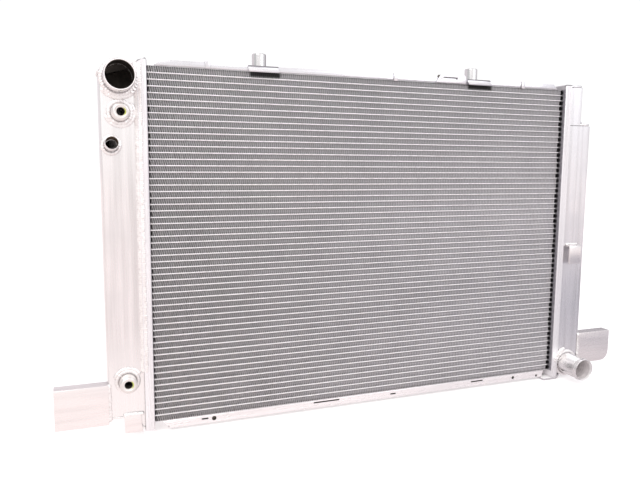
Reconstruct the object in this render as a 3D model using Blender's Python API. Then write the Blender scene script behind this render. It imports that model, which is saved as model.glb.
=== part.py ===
"""Car radiator: an all-aluminium crossflow radiator with a brazed core and welded end tanks.

Frame: X to the right, Y towards the back and Z up, in metres. Every piece hangs on the assembly
empty, which puts the origin at the bottom centre of the radiator's box. Inside the assembly, X runs
from the middle of the core, Y from the core's front face and Z from the core's lower edge. On the
two ends, "outward" is the distance from the end of the core, whichever side it is on.
"""

import math

import bmesh
import bpy
from mathutils import Matrix, Vector

MM = 0.001
CLEARANCE = 0.3 * MM
FORWARD = (math.pi / 2, 0, 0)

# Core: flat tubes between rows of corrugated fin
CORE_WIDTH = 640 * MM
CORE_DEPTH = 42 * MM
TUBE_PITCH = 8.2 * MM
FIN_ROWS = 56
TUBE_COUNT = FIN_ROWS - 1
CORE_HEIGHT = FIN_ROWS * TUBE_PITCH
HALF_CORE = CORE_WIDTH / 2
TUBE_HEIGHT = 2.0 * MM
TUBE_WALL = 0.35 * MM
TUBE_BEYOND_CORE = 7 * MM
FIN_END_GAP = 1 * MM
FIN_FOIL = 0.37 * MM
FIN_LEGS = 2
FIN_CREST = 4 * MM

# Header plates: shallow pans, pierced for the tubes, whose rims face outward
PLATE_INNER = 2 * MM
PLATE_THICKNESS = 2.5 * MM
PAN_RIM = 14 * MM
PAN_FRONT = -7.5 * MM
PAN_BACK = CORE_DEPTH - PAN_FRONT
PAN_TOP = CORE_HEIGHT + 8.2 * MM
PAN_BOTTOM = {-1: -8 * MM, 1: -11.5 * MM}
PAN_CORNER = 2 * MM

# End tanks: folded sheet that fits inside the rims of the pans
TANK_WALL = 2.5 * MM
TANK_INNER = 5 * MM
TANK_OUTER = 58.5 * MM
TANK_CORNER = 6 * MM
TANK_FRONT = PAN_FRONT + PLATE_THICKNESS + CLEARANCE
TANK_BACK = CORE_DEPTH - TANK_FRONT
CAP_THICKNESS = 3 * MM
PLATE_DEEP_IN_PAN = (17 * MM, 24 * MM)
LEFT_TOP_AT_PAN = CORE_HEIGHT + 4.6 * MM
LEFT_TOP_AT_END = CORE_HEIGHT - 8.2 * MM
LEFT_BOTTOM_IN_PAN = -5 * MM
LEFT_BOTTOM_RAISED = 12 * MM
RIGHT_BOTTOM_IN_PAN = -8.5 * MM
RIGHT_BOTTOM_RAISED = -5 * MM
UPPER_BOX_OUTER = 39.5 * MM
UPPER_BOX_CORNER = 6 * MM
UPPER_BOX_JOGGLE = (14.3 * MM, 18 * MM)
STEP_HEIGHT = 404.5 * MM
STEP_RISE = 3 * MM
STEP_CURL = 4 * MM
SEAM = 0.8 * MM
BOTTOM_CAP_THICKNESS = 4 * MM
BOTTOM_CAP_TONGUE = -13 * MM

# Side channels along the top and the bottom of the core
CHANNEL_SHEET = 1.5 * MM
CHANNEL_FLANGE = 8 * MM
LOWER_FLANGE = 11.2 * MM
CHANNEL_FOLD = 2 * MM
CHANNEL_INSET = 8 * MM
CHANNEL_TOP = CORE_HEIGHT + CHANNEL_FLANGE
LOWER_END_SLOPE = 0.25
OPENING_DEPTH = 4 * MM
SLOT_HEIGHT = 2.2 * MM
SLOTS = (
    (-260 * MM, 9 * MM, -5 * MM),
    (-98 * MM, 40 * MM, -3.6 * MM),
    (26 * MM, 9 * MM, -6 * MM),
    (170 * MM, 22 * MM, -4 * MM),
)
HOLES = (
    (-243 * MM, 3.2 * MM, -6 * MM),
    (251 * MM, 2.6 * MM, -6.6 * MM),
    (298 * MM, 2 * MM, -8.2 * MM),
)

# Upper mounts
PIN_X = (-172.5 * MM, 162.8 * MM)
PIN_RADIUS = 9.5 * MM
PIN_TOP = 485.5 * MM
PIN_EDGE = 1.6 * MM
SADDLE_WIDTH = 41 * MM
SADDLE_SHEET = 1.8 * MM
SADDLE_TOP = CHANNEL_TOP
SADDLE_NOTCH = SADDLE_TOP - SADDLE_SHEET - CLEARANCE
SADDLE_FRONT = -2.2 * MM
SADDLE_LIP = -7.5 * MM
SADDLE_KNEE = CORE_HEIGHT + 4 * MM
SADDLE_HEM = CORE_HEIGHT + 0.4 * MM
SADDLE_FOLD = 2.2 * MM

# Water necks, bleed neck and oil fittings
INLET_RADIUS = 18 * MM
OUTLET_RADIUS = 17.4 * MM
WATER_NECK_WALL = 1.3 * MM
WATER_NECK_BEAD = 1 * MM
BEAD_FROM_MOUTH = 6 * MM
BEAD_WIDTH = 5 * MM
INLET = (-HALF_CORE - 35.8 * MM, 441.6 * MM)
INLET_MOUTH = -40 * MM
OUTLET = (HALF_CORE + 32.6 * MM, 10.2 * MM)
OUTLET_MOUTH = -48.5 * MM
OUTLET_HOLE_RADIUS = 15 * MM
OUTLET_HOLE_RISE = 1 * MM
BLEED = (-HALF_CORE - 46.2 * MM, 360 * MM)
BLEED_RADIUS = 8.1 * MM
BLEED_BEAD = 8.75 * MM
BLEED_WALL = 1.2 * MM
BLEED_LENGTH = 20 * MM
BLEED_TILT = math.radians(9)
WALL_CUT = 4 * MM
OIL_X = -HALF_CORE - 34.8 * MM
OIL_HEIGHTS = {"lower": 61 * MM, "upper": 400.5 * MM}
OIL_BORE = 4.5 * MM
OIL_STUB_RADIUS = 7 * MM
OIL_STUB_DEPTH = 12 * MM
OIL_BODY_RADIUS = 10.8 * MM
OIL_BODY_LENGTH = 17 * MM
OIL_CHAMFER = 1.2 * MM
OIL_SEAT_RADIUS = 8 * MM
OIL_SEAT_DEPTH = 2.5 * MM
SEAL_ROUND = 1 * MM
SEAL_BELOW_RIM = 0.4 * MM
SEAL_OUTSIDE_BORE = 0.6 * MM

# Oil cooler inside the left tank: oil runs between its two tubes
COOLER_Y = CORE_DEPTH / 2
COOLER_OUTER_RADIUS = 13 * MM
COOLER_INNER_RADIUS = 9 * MM
COOLER_WALL = 1 * MM
COOLER_LOW = 48 * MM
COOLER_HIGH = 412.7 * MM
COOLER_RING = 5 * MM
COOLER_PORT_RADIUS = 4.5 * MM
COOLER_OVERHANG = 4 * MM

# Lower mounts
ARM_LENGTH = 64.7 * MM
ARM_FRONT = -7 * MM
ARM_DEPTH = 18 * MM
ARM_LOW = 6.5 * MM
ARM_HIGH = 58.8 * MM
ARM_SHEET = 3 * MM
ARM_ROUND = 16 * MM
FOOT_SHEET = 3 * MM
FOOT_LOW = -7.5 * MM
FOOT_HIGH = 16 * MM
FOOT_TOP_OUTWARD = (20 * MM, 40.5 * MM)
FOOT_BOTTOM_OUTWARD = (17.5 * MM, 40 * MM)

# Small brackets
TAB_SHEET = 2.5 * MM
TAB_OUTWARD = (20.5 * MM, 43.5 * MM)
TAB_HIGH = 210.5 * MM
TAB_LOW = 180 * MM
TAB_REACH = 10 * MM
TAB_FOLD = 3 * MM
TOP_TAB_SHEET = 2 * MM
TOP_TAB_X = (89 * MM, 139.6 * MM)
TOP_TAB_HIGH = CORE_HEIGHT + 12.6 * MM
TOP_TAB_LOW = CORE_HEIGHT + 0.5 * MM
TOP_TAB_SLOT_X = (101 * MM, 124.8 * MM)
TOP_TAB_SLOT_Z = (CORE_HEIGHT + 5.7 * MM, CORE_HEIGHT + 8.7 * MM)
CLIP_X = (-246 * MM, 23 * MM, 244 * MM)
CLIP_WIDTH = 6 * MM
CLIP_SHEET = 1 * MM
CLIP_LOW = CORE_HEIGHT - 3 * MM
CLIP_REACH = 5 * MM

# The box of the whole radiator, for the place of the origin
BOX_FRONT = OUTLET_MOUTH
BOX_BACK = PAN_BACK
BOTTOM_CAP_LOW = PAN_BOTTOM[1] - CLEARANCE - BOTTOM_CAP_THICKNESS


def clear_scene():
    for item in list(bpy.data.objects):
        bpy.data.objects.remove(item)


def metal(name, colour, metallic, roughness):
    """Principled material with the piece's colour, metallic value and roughness."""
    material = bpy.data.materials.new(name)
    material.use_nodes = True
    shader = material.node_tree.nodes["Principled BSDF"]
    shader.inputs["Base Color"].default_value = (*colour, 1)
    shader.inputs["Metallic"].default_value = metallic
    shader.inputs["Roughness"].default_value = roughness
    material.diffuse_color = (*colour, 1)
    return material


def add_object(name, bm, look, parent, location=(0, 0, 0), rotation=(0, 0, 0), smooth=False):
    """Object from a bmesh, with its own material `look` = (colour, metallic, roughness)."""
    mesh = bpy.data.meshes.new(name)
    bm.to_mesh(mesh)
    bm.free()
    if smooth:
        mesh.shade_smooth()
        mesh.set_sharp_from_angle(angle=math.radians(35))
    item = bpy.data.objects.new(name, mesh)
    item.data.materials.append(metal(name, *look))
    item.parent = parent
    item.location = location
    item.rotation_euler = rotation
    bpy.context.collection.objects.link(item)
    return item


def add_cutter(name, bm, parent, location=(0, 0, 0), rotation=(0, 0, 0)):
    mesh = bpy.data.meshes.new(name)
    bm.to_mesh(mesh)
    bm.free()
    item = bpy.data.objects.new(name, mesh)
    item.parent = parent
    item.location = location
    item.rotation_euler = rotation
    item.hide_render = True
    item.display_type = "WIRE"
    bpy.context.collection.objects.link(item)
    return item


def subtract(target, cutter):
    cut = target.modifiers.new(cutter.name, "BOOLEAN")
    cut.operation = "DIFFERENCE"
    cut.solver = "EXACT"
    cut.object = cutter


def spot(a, b, c, axis):
    """Point from two section coordinates a, b and the place c along the axis."""
    return {"X": (c, a, b), "Y": (a, c, b), "Z": (a, b, c)}[axis]


def value(rule, *place):
    """A number, or what a function gives for the place."""
    return rule(*place) if callable(rule) else rule


def prism(outline, axis, low, high):
    """Straight solid over a closed outline, from low to high along the axis."""
    bm = bmesh.new()
    base = bm.faces.new([bm.verts.new(spot(a, b, low, axis)) for a, b in outline])
    grown = bmesh.ops.extrude_face_region(bm, geom=[base])
    moved = [v for v in grown["geom"] if isinstance(v, bmesh.types.BMVert)]
    bmesh.ops.translate(bm, verts=moved, vec=Vector(spot(0, 0, high - low, axis)))
    bmesh.ops.recalc_face_normals(bm, faces=bm.faces)
    return bm


def rounded(points, radius, steps=3):
    """Open path whose inner corners are replaced by arcs of the given radius."""
    path = [Vector(points[0])]
    for before, corner, after in zip(points, points[1:], points[2:]):
        corner = Vector(corner)
        inward = (Vector(before) - corner).normalized()
        onward = (Vector(after) - corner).normalized()
        half_angle = inward.angle(onward) / 2
        reach = radius / math.tan(half_angle)
        centre = corner + (inward + onward).normalized() * radius / math.sin(half_angle)
        start = (corner + inward * reach - centre).normalized()
        end = (corner + onward * reach - centre).normalized()
        for step in range(steps + 1):
            path.append(centre + start.slerp(end, step / steps) * radius)
    path.append(Vector(points[-1]))
    return [tuple(p) for p in path]


def offset_path(path, distance):
    """Path moved sideways by a distance, to the left of its direction of travel."""
    moved = []
    for i, here in enumerate(path):
        here = Vector(here)
        before = here - Vector(path[i - 1]) if i else Vector(path[1]) - here
        after = Vector(path[i + 1]) - here if i + 1 < len(path) else before
        sides = [Vector((-d.y, d.x)).normalized() for d in (before, after)]
        mid = (sides[0] + sides[1]).normalized()
        moved.append(tuple(here + mid * distance / mid.dot(sides[0])))
    return moved


def folded_sheet(path, thickness, axis, low, high):
    """Sheet bent along a path: its thickness lies to the left of the path. The places of its two
    cut ends along the axis, low and high, are numbers or functions of the path's coordinates."""
    inner = offset_path(path, thickness)
    bm = bmesh.new()
    rings = []
    for (a, b), (c, d) in zip(path, inner):
        corners = [(a, b, low), (c, d, low), (c, d, high), (a, b, high)]
        rings.append([bm.verts.new(spot(p, q, value(end, a, b), axis)) for p, q, end in corners])
    for ring, following in zip(rings, rings[1:]):
        for k in range(4):
            bm.faces.new((ring[k], ring[k - 1], following[k - 1], following[k]))
    bm.faces.new(rings[0])
    bm.faces.new(rings[-1])
    bmesh.ops.recalc_face_normals(bm, faces=bm.faces)
    return bm


def turned(profile, steps=24):
    """Ring-shaped solid: a closed profile of (radius, height) points spun round the Z axis."""
    bm = bmesh.new()
    verts = [bm.verts.new((radius, 0, height)) for radius, height in profile]
    edges = [bm.edges.new((verts[i - 1], verts[i])) for i in range(len(verts))]
    turn = {"axis": (0, 0, 1), "cent": (0, 0, 0), "angle": math.tau, "steps": steps}
    bmesh.ops.spin(bm, geom=verts + edges, use_merge=True, **turn)
    bmesh.ops.remove_doubles(bm, verts=bm.verts, dist=1e-6)
    bmesh.ops.recalc_face_normals(bm, faces=bm.faces)
    return bm


def drum(radius, low, high, steps=24):
    """Plain round bar along Z."""
    angles = [math.tau * i / steps for i in range(steps)]
    return prism([(radius * math.cos(a), radius * math.sin(a)) for a in angles], "Z", low, high)


class Grid:
    """Mesh whose corners are shared by all faces that meet there."""

    def __init__(self):
        self.bm = bmesh.new()
        self.corners = {}

    def corner(self, point):
        key = tuple(round(c * 1e7) for c in point)
        if key not in self.corners:
            self.corners[key] = self.bm.verts.new(point)
        return self.corners[key]

    def face(self, *points):
        self.bm.faces.new([self.corner(p) for p in points])

    def finish(self):
        bmesh.ops.recalc_face_normals(self.bm, faces=self.bm.faces)
        return self.bm


def fin_stations():
    """Places along X where a fin row turns between crest and leg, with the crest's number."""
    left = -HALF_CORE + FIN_END_GAP + FIN_CREST / 2
    span = -2 * left
    stations = []
    for crest in range(FIN_LEGS + 1):
        middle = left + span * crest / FIN_LEGS
        stations.append((middle - FIN_CREST / 2, crest))
        stations.append((middle + FIN_CREST / 2, crest))
    return stations


def fin_row(grid, row):
    """One coarse corrugated strip, brazed to the tube below by its even crests and to the tube
    above by its odd crests."""
    floor = row * TUBE_PITCH + (TUBE_HEIGHT / 2 if row else 0)
    ceiling = (row + 1) * TUBE_PITCH - (TUBE_HEIGHT / 2 if row < FIN_ROWS - 1 else 0)
    line = [(x, floor if crest % 2 == 0 else ceiling - FIN_FOIL, crest) for x, crest in fin_stations()]
    for (x0, z0, c0), (x1, z1, c1) in zip(line, line[1:]):
        for y in (0, CORE_DEPTH):
            grid.face((x0, y, z0), (x1, y, z1), (x1, y, z1 + FIN_FOIL), (x0, y, z0 + FIN_FOIL))
        on_lower_tube = c0 == c1 and c0 % 2 == 0 and row > 0
        on_upper_tube = c0 == c1 and c0 % 2 == 1 and row < FIN_ROWS - 1
        if not on_lower_tube:
            grid.face((x0, 0, z0), (x1, 0, z1), (x1, CORE_DEPTH, z1), (x0, CORE_DEPTH, z0))
        if not on_upper_tube:
            z0, z1 = z0 + FIN_FOIL, z1 + FIN_FOIL
            grid.face((x0, 0, z0), (x1, 0, z1), (x1, CORE_DEPTH, z1), (x0, CORE_DEPTH, z0))
    for x, z, _ in (line[0], line[-1]):
        grid.face((x, 0, z), (x, 0, z + FIN_FOIL), (x, CORE_DEPTH, z + FIN_FOIL), (x, CORE_DEPTH, z))


def flat_tube(grid, number):
    """One flat water tube, open at both ends, with the fin crests of its two rows on it."""
    low = (number + 1) * TUBE_PITCH - TUBE_HEIGHT / 2
    high = low + TUBE_HEIGHT
    end = HALF_CORE + TUBE_BEYOND_CORE
    under = [-end] + [x for x, crest in fin_stations() if crest % 2 == 1] + [end]
    above = [-end] + [x for x, crest in fin_stations() if crest % 2 == 0] + [end]
    for y in (0, CORE_DEPTH):
        grid.face(*[(x, y, low) for x in under], *[(x, y, high) for x in reversed(above)])
    for z, marks in ((low, under), (high, above)):
        for x0, x1 in zip(marks[::2], marks[1::2]):
            grid.face((x0, 0, z), (x1, 0, z), (x1, CORE_DEPTH, z), (x0, CORE_DEPTH, z))
    outside = [(0, low), (CORE_DEPTH, low), (CORE_DEPTH, high), (0, high)]
    w = TUBE_WALL
    inside = [(w, low + w), (CORE_DEPTH - w, low + w), (CORE_DEPTH - w, high - w), (w, high - w)]
    for k in range(4):
        (ya, za), (yb, zb) = outside[k - 1], outside[k]
        (yc, zc), (yd, zd) = inside[k], inside[k - 1]
        for x in (-end, end):
            grid.face((x, ya, za), (x, yb, zb), (x, yc, zc), (x, yd, zd))
        grid.face((-end, yc, zc), (-end, yd, zd), (end, yd, zd), (end, yc, zc))


def brazed_core(parent):
    grid = Grid()
    for row in range(FIN_ROWS):
        fin_row(grid, row)
    for number in range(TUBE_COUNT):
        flat_tube(grid, number)
    add_object("brazed_core", grid.finish(), ((0.62, 0.62, 0.63), 1.0, 0.4), parent)


def slotted_wall(grid, x, front, back, bottom, top):
    """Flat wall across X, pierced by one slot for each tube."""
    slot_front, slot_back = -CLEARANCE, CORE_DEPTH + CLEARANCE
    edges = []
    for number in range(TUBE_COUNT):
        middle = (number + 1) * TUBE_PITCH
        edges.append(middle - TUBE_HEIGHT / 2 - CLEARANCE)
        edges.append(middle + TUBE_HEIGHT / 2 + CLEARANCE)
    grid.face((x, front, bottom), *[(x, slot_front, z) for z in edges], (x, front, top))
    grid.face((x, back, bottom), *[(x, slot_back, z) for z in edges], (x, back, top))
    for z0, z1 in zip(edges[1:-1:2], edges[2:-1:2]):
        grid.face((x, slot_front, z0), (x, slot_back, z0), (x, slot_back, z1), (x, slot_front, z1))
    for border, z in ((bottom, edges[0]), (top, edges[-1])):
        grid.face((x, front, border), (x, back, border), (x, slot_back, z), (x, slot_front, z))
    return slot_front, slot_back, edges


def header_plate(name, side, parent):
    """Shallow pan: a pierced plate with a rim all round, open towards the tank."""
    face = side * (HALF_CORE + PLATE_INNER)
    floor = side * (HALF_CORE + PLATE_INNER + PLATE_THICKNESS)
    rim = side * (HALF_CORE + PAN_RIM)
    low, high = PAN_BOTTOM[side], PAN_TOP
    outside = [(PAN_FRONT, low), (PAN_BACK, low), (PAN_BACK, high), (PAN_FRONT, high)]
    front, back = PAN_FRONT + PLATE_THICKNESS, PAN_BACK - PLATE_THICKNESS
    bottom, top = low + PLATE_THICKNESS, high - PLATE_THICKNESS
    inside = [(front, bottom), (back, bottom), (back, top), (front, top)]
    grid = Grid()
    slotted_wall(grid, face, PAN_FRONT, PAN_BACK, low, high)
    slot_front, slot_back, edges = slotted_wall(grid, floor, front, back, bottom, top)
    for z0, z1 in zip(edges[::2], edges[1::2]):
        loop = [(slot_front, z0), (slot_back, z0), (slot_back, z1), (slot_front, z1)]
        for k in range(4):
            (ya, za), (yb, zb) = loop[k - 1], loop[k]
            grid.face((face, ya, za), (face, yb, zb), (floor, yb, zb), (floor, ya, za))
    for k in range(4):
        (ya, za), (yb, zb) = outside[k - 1], outside[k]
        (yc, zc), (yd, zd) = inside[k], inside[k - 1]
        grid.face((face, ya, za), (face, yb, zb), (rim, yb, zb), (rim, ya, za))
        grid.face((floor, yd, zd), (floor, yc, zc), (rim, yc, zc), (rim, yd, zd))
        grid.face((rim, ya, za), (rim, yb, zb), (rim, yc, zc), (rim, yd, zd))
    bm = grid.finish()
    outline = {grid.corner((face, y, z)) for y, z in outside}
    folds = [edge for edge in bm.edges if set(edge.verts) <= outline]
    bmesh.ops.bevel(bm, geom=folds, offset=PAN_CORNER, segments=2, profile=0.5, affect="EDGES")
    add_object(name, bm, ((0.86, 0.85, 0.86), 1.0, 0.35), parent)


def bend(outward, start, end):
    """Level, then straight from start to end, then level again."""
    share = min(max((outward - start[0]) / (end[0] - start[0]), 0), 1)
    return start[1] + share * (end[1] - start[1])


def left_top(outward):
    """Height of the left tank's sloping top."""
    return bend(outward, (PAN_RIM, LEFT_TOP_AT_PAN), (TANK_OUTER, LEFT_TOP_AT_END))


def left_bottom(outward):
    """Height of the left tank's underside: low inside the pan, then stepping up."""
    deep, clear = PLATE_DEEP_IN_PAN
    return bend(outward, (deep, LEFT_BOTTOM_IN_PAN), (clear, LEFT_BOTTOM_RAISED))


def right_bottom(outward):
    """Height of the right tank's underside: low inside the pan, then stepping up."""
    return bend(outward, (PAN_RIM, RIGHT_BOTTOM_IN_PAN), (PLATE_DEEP_IN_PAN[1], RIGHT_BOTTOM_RAISED))


def right_cap_underside(outward):
    """Underside of the upper box's cap: under the pan's rim, then level with the pan."""
    under_rim = PAN_TOP - PLATE_THICKNESS - CLEARANCE - CAP_THICKNESS
    start, end = UPPER_BOX_JOGGLE
    return bend(outward, (start, under_rim), (end, PAN_TOP - CAP_THICKNESS))


def step_underside(outward):
    """Underside of the plate that closes the wide part of the right tank: curled up to the box."""
    start = UPPER_BOX_OUTER + CLEARANCE
    return bend(outward, (start, STEP_HEIGHT + STEP_RISE), (start + STEP_CURL, STEP_HEIGHT))


def bottom_cap_underside(outward):
    raised = RIGHT_BOTTOM_RAISED - BOTTOM_CAP_THICKNESS
    return bend(outward, (PAN_RIM + CLEARANCE, BOTTOM_CAP_LOW), (PLATE_DEEP_IN_PAN[1], raised))


def tank_path(side, outer, corner, stations):
    """Section of a tank seen from above: front wall, outer wall and back wall."""
    front, back = TANK_FRONT, TANK_BACK
    ends = [(TANK_INNER, front), (outer, front), (outer, back), (TANK_INNER, back)]
    path = rounded(ends, corner, steps=4)
    path[1:1] = [(u, front) for u in stations]
    path[-1:-1] = [(u, back) for u in reversed(stations)]
    return [(side * (HALF_CORE + u), y) for u, y in path]


def tank_shell(name, side, outer, corner, stations, low, high, parent):
    """Folded tank body, open towards the header plate and at both ends. low and high are heights
    or functions of the distance outward."""
    path = tank_path(side, outer, corner, stations)

    def floor(x, _y):
        return value(low, abs(x) - HALF_CORE)

    def roof(x, _y):
        return value(high, abs(x) - HALF_CORE)

    bm = folded_sheet(path, side * TANK_WALL, "Z", floor, roof)
    return add_object(name, bm, ((0.88, 0.86, 0.86), 1.0, 0.3), parent, smooth=True)


def tank_cap(name, side, stations, underside, parent, thickness=CAP_THICKNESS, wide_until=0):
    """End plate of a tank: a strip bent over the stations, with its outer corners rounded off.
    Up to wide_until the plate is as deep as the pan."""
    bm = bmesh.new()
    rings = []
    for outward, cut in stations:
        front = PAN_FRONT if outward <= wide_until else TANK_FRONT + cut
        back = CORE_DEPTH - front
        low = underside(outward)
        x = side * (HALF_CORE + outward)
        loop = [(front, low), (back, low), (back, low + thickness), (front, low + thickness)]
        rings.append([bm.verts.new((x, y, z)) for y, z in loop])
    for ring, following in zip(rings, rings[1:]):
        for k in range(4):
            bm.faces.new((ring[k], ring[k - 1], following[k - 1], following[k]))
    bm.faces.new(rings[0])
    bm.faces.new(rings[-1])
    bmesh.ops.recalc_face_normals(bm, faces=bm.faces)
    add_object(name, bm, ((0.87, 0.85, 0.85), 1.0, 0.35), parent)


def corner_cut(outer, corner, steps=3):
    """Stations over a rounded corner: (outward, how far the plate draws in there)."""
    angles = [math.pi / 2 * k / steps for k in range(steps + 1)]
    return [
        (outer - corner * (1 - math.sin(a)), corner * (1 - math.cos(a)))
        for a in angles
    ]


def hole(target, name, location, radius, reach, parent, steps=24):
    """Round hole through a target, along Y; reach is how far it runs either way from its place."""
    cutter = drum(radius, -reach, reach, steps)
    subtract(target, add_cutter(name, cutter, parent, location, FORWARD))


def left_tank(parent):
    def roof(outward):
        return left_top(outward) - CAP_THICKNESS - CLEARANCE

    def floor(outward):
        return left_bottom(outward) + CAP_THICKNESS + CLEARANCE

    stations = (PAN_RIM, *PLATE_DEEP_IN_PAN)
    shell = tank_shell(
        "left_tank_shell", -1, TANK_OUTER, TANK_CORNER, stations, floor, roof, parent
    )
    ports = [("inlet_hole", INLET, INLET_RADIUS - WATER_NECK_WALL)]
    ports.append(("bleed_hole", BLEED, BLEED_RADIUS - BLEED_WALL))
    for level, z in OIL_HEIGHTS.items():
        ports.append((level + "_oil_hole", (OIL_X, z), OIL_STUB_RADIUS + CLEARANCE))
    for name, (x, z), radius in ports:
        hole(shell, name, (x, TANK_FRONT, z), radius, WALL_CUT, parent)
    corners = corner_cut(TANK_OUTER, TANK_CORNER)

    def top_underside(outward):
        return left_top(outward) - CAP_THICKNESS

    top_stations = [(TANK_INNER, 0), (PAN_RIM, 0), *corners]
    tank_cap("left_tank_top_cap", -1, top_stations, top_underside, parent)
    bottom_stations = [(TANK_INNER, 0), *[(u, 0) for u in PLATE_DEEP_IN_PAN], *corners]
    tank_cap("left_tank_bottom_cap", -1, bottom_stations, left_bottom, parent)


def right_tank(parent):
    def floor(outward):
        return right_bottom(outward) + CLEARANCE

    def roof(outward):
        return right_cap_underside(outward) - CLEARANCE

    stations = (PAN_RIM, PLATE_DEEP_IN_PAN[1])
    shell = tank_shell(
        "right_tank_shell", 1, TANK_OUTER, TANK_CORNER, stations, floor, STEP_HEIGHT - SEAM, parent
    )
    port = (OUTLET[0], TANK_FRONT, OUTLET[1] + OUTLET_HOLE_RISE)
    hole(shell, "outlet_hole", port, OUTLET_HOLE_RADIUS, WALL_CUT, parent)
    tank_shell(
        "right_tank_upper_shell", 1, UPPER_BOX_OUTER, UPPER_BOX_CORNER, UPPER_BOX_JOGGLE,
        STEP_HEIGHT, roof, parent,
    )
    box_corners = corner_cut(UPPER_BOX_OUTER, UPPER_BOX_CORNER)
    top_stations = [(TANK_INNER, 0), *[(u, 0) for u in UPPER_BOX_JOGGLE], *box_corners]
    tank_cap("right_tank_top_cap", 1, top_stations, right_cap_underside, parent)
    corners = corner_cut(TANK_OUTER, TANK_CORNER)
    step_start = UPPER_BOX_OUTER + CLEARANCE
    step_stations = [(step_start, 0), (step_start + STEP_CURL, 0), *corners]
    tank_cap("right_tank_step_plate", 1, step_stations, step_underside, parent)
    past_pan = PAN_RIM + CLEARANCE
    bottom_stations = [(u, 0) for u in (BOTTOM_CAP_TONGUE, past_pan, PLATE_DEEP_IN_PAN[1])]
    tank_cap(
        "right_tank_bottom_cap", 1, [*bottom_stations, *corners], bottom_cap_underside, parent,
        BOTTOM_CAP_THICKNESS, past_pan,
    )


def channel_section(web, edge):
    """Section of a side channel from its front edge over its web to its back edge."""
    return rounded([(0, edge), (0, web), (CORE_DEPTH, web), (CORE_DEPTH, edge)], CHANNEL_FOLD)


def side_channels(parent):
    """U-shaped strips along the outer fin rows, flanges away from the core."""
    left, right = -HALF_CORE + CHANNEL_INSET, HALF_CORE - CHANNEL_INSET
    look = ((0.8, 0.8, 0.84), 1.0, 0.4)
    upper_web, lower_web = CORE_HEIGHT + CLEARANCE, -CLEARANCE

    def left_end(_y, z):
        return left + max(z - upper_web, lower_web - z)

    def upper_right_end(_y, z):
        return right - (z - upper_web)

    def lower_right_end(_y, z):
        return right - (lower_web - z) * LOWER_END_SLOPE

    upper = channel_section(upper_web, CHANNEL_TOP)
    sheet = folded_sheet(upper, CHANNEL_SHEET, "X", left_end, upper_right_end)
    channel = add_object("top_side_channel", sheet, look, parent)
    notches = bmesh.new()
    half = SADDLE_WIDTH / 2 + CLEARANCE
    for x in PIN_X:
        outline = [
            (x - half, SADDLE_NOTCH), (x + half, SADDLE_NOTCH),
            (x + half, CHANNEL_TOP + CHANNEL_SHEET), (x - half, CHANNEL_TOP + CHANNEL_SHEET),
        ]
        merge_into(notches, prism(outline, "Y", -CHANNEL_SHEET, CORE_DEPTH + CHANNEL_SHEET))
    subtract(channel, add_cutter("saddle_notches", notches, parent))
    lower = channel_section(lower_web, lower_web - LOWER_FLANGE)
    sheet = folded_sheet(lower, -CHANNEL_SHEET, "X", left_end, lower_right_end)
    channel = add_object("bottom_side_channel", sheet, look, parent)
    openings = bmesh.new()
    for x, length, z in SLOTS:
        low, high = z - SLOT_HEIGHT / 2, z + SLOT_HEIGHT / 2
        outline = [(x, low), (x + length, low), (x + length, high), (x, high)]
        merge_into(openings, prism(outline, "Y", -OPENING_DEPTH, OPENING_DEPTH))
    for x, radius, z in HOLES:
        disc = drum(radius, -OPENING_DEPTH, OPENING_DEPTH, 12)
        place = Matrix.Translation((x, 0, z)) @ Matrix.Rotation(math.pi / 2, 4, "X")
        bmesh.ops.transform(disc, matrix=place, verts=disc.verts)
        merge_into(openings, disc)
    subtract(channel, add_cutter("bottom_channel_openings", openings, parent))


def merge_into(target, extra):
    mesh = bpy.data.meshes.new("merged")
    extra.to_mesh(mesh)
    extra.free()
    target.from_mesh(mesh)
    bpy.data.meshes.remove(mesh)


def upper_mounts(parent):
    """Two locating pins, each on a saddle let into the top channel's flanges."""
    back = CORE_DEPTH - SADDLE_FRONT
    section = [
        (SADDLE_LIP, SADDLE_HEM), (SADDLE_FRONT, SADDLE_KNEE), (SADDLE_FRONT, SADDLE_TOP),
        (back, SADDLE_TOP), (back, SADDLE_HEM),
    ]
    path = rounded(section, SADDLE_FOLD)
    for name, x in zip(("left", "right"), PIN_X):
        saddle = folded_sheet(path, -SADDLE_SHEET, "X", -SADDLE_WIDTH / 2, SADDLE_WIDTH / 2)
        look = ((0.85, 0.84, 0.86), 1.0, 0.35)
        add_object(name + "_pin_saddle", saddle, look, parent, (x, 0, 0))
        base = SADDLE_TOP + CLEARANCE
        height = PIN_TOP - base
        pin = drum(PIN_RADIUS, 0, height)
        rim = [e for e in pin.edges if all(v.co.z > height / 2 for v in e.verts)]
        bmesh.ops.bevel(pin, geom=rim, offset=PIN_EDGE, segments=2, profile=0.5, affect="EDGES")
        look = ((0.9, 0.88, 0.88), 1.0, 0.22)
        place = (x, CORE_DEPTH / 2, base)
        add_object(name + "_mount_pin", pin, look, parent, place, smooth=True)


def slotted_top_tab(parent):
    """Raised plate in front of the top channel, with one long slot."""
    left, right = TOP_TAB_X
    high = TOP_TAB_HIGH
    outline = [
        (left, TOP_TAB_LOW), (right, TOP_TAB_LOW), (right, high - 2 * MM), (right - 3 * MM, high),
        (left + 9 * MM, high), (left + 5 * MM, high - 3 * MM),
    ]
    front, back = -TOP_TAB_SHEET - CLEARANCE, -CLEARANCE
    look = ((0.87, 0.86, 0.88), 1.0, 0.35)
    plate = add_object("slotted_top_tab", prism(outline, "Y", front, back), look, parent)
    (x0, x1), (z0, z1) = TOP_TAB_SLOT_X, TOP_TAB_SLOT_Z
    slot = prism([(x0, z0), (x1, z0), (x1, z1), (x0, z1)], "Y", 2 * front, -front)
    subtract(plate, add_cutter("top_tab_slot", slot, parent))


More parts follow.
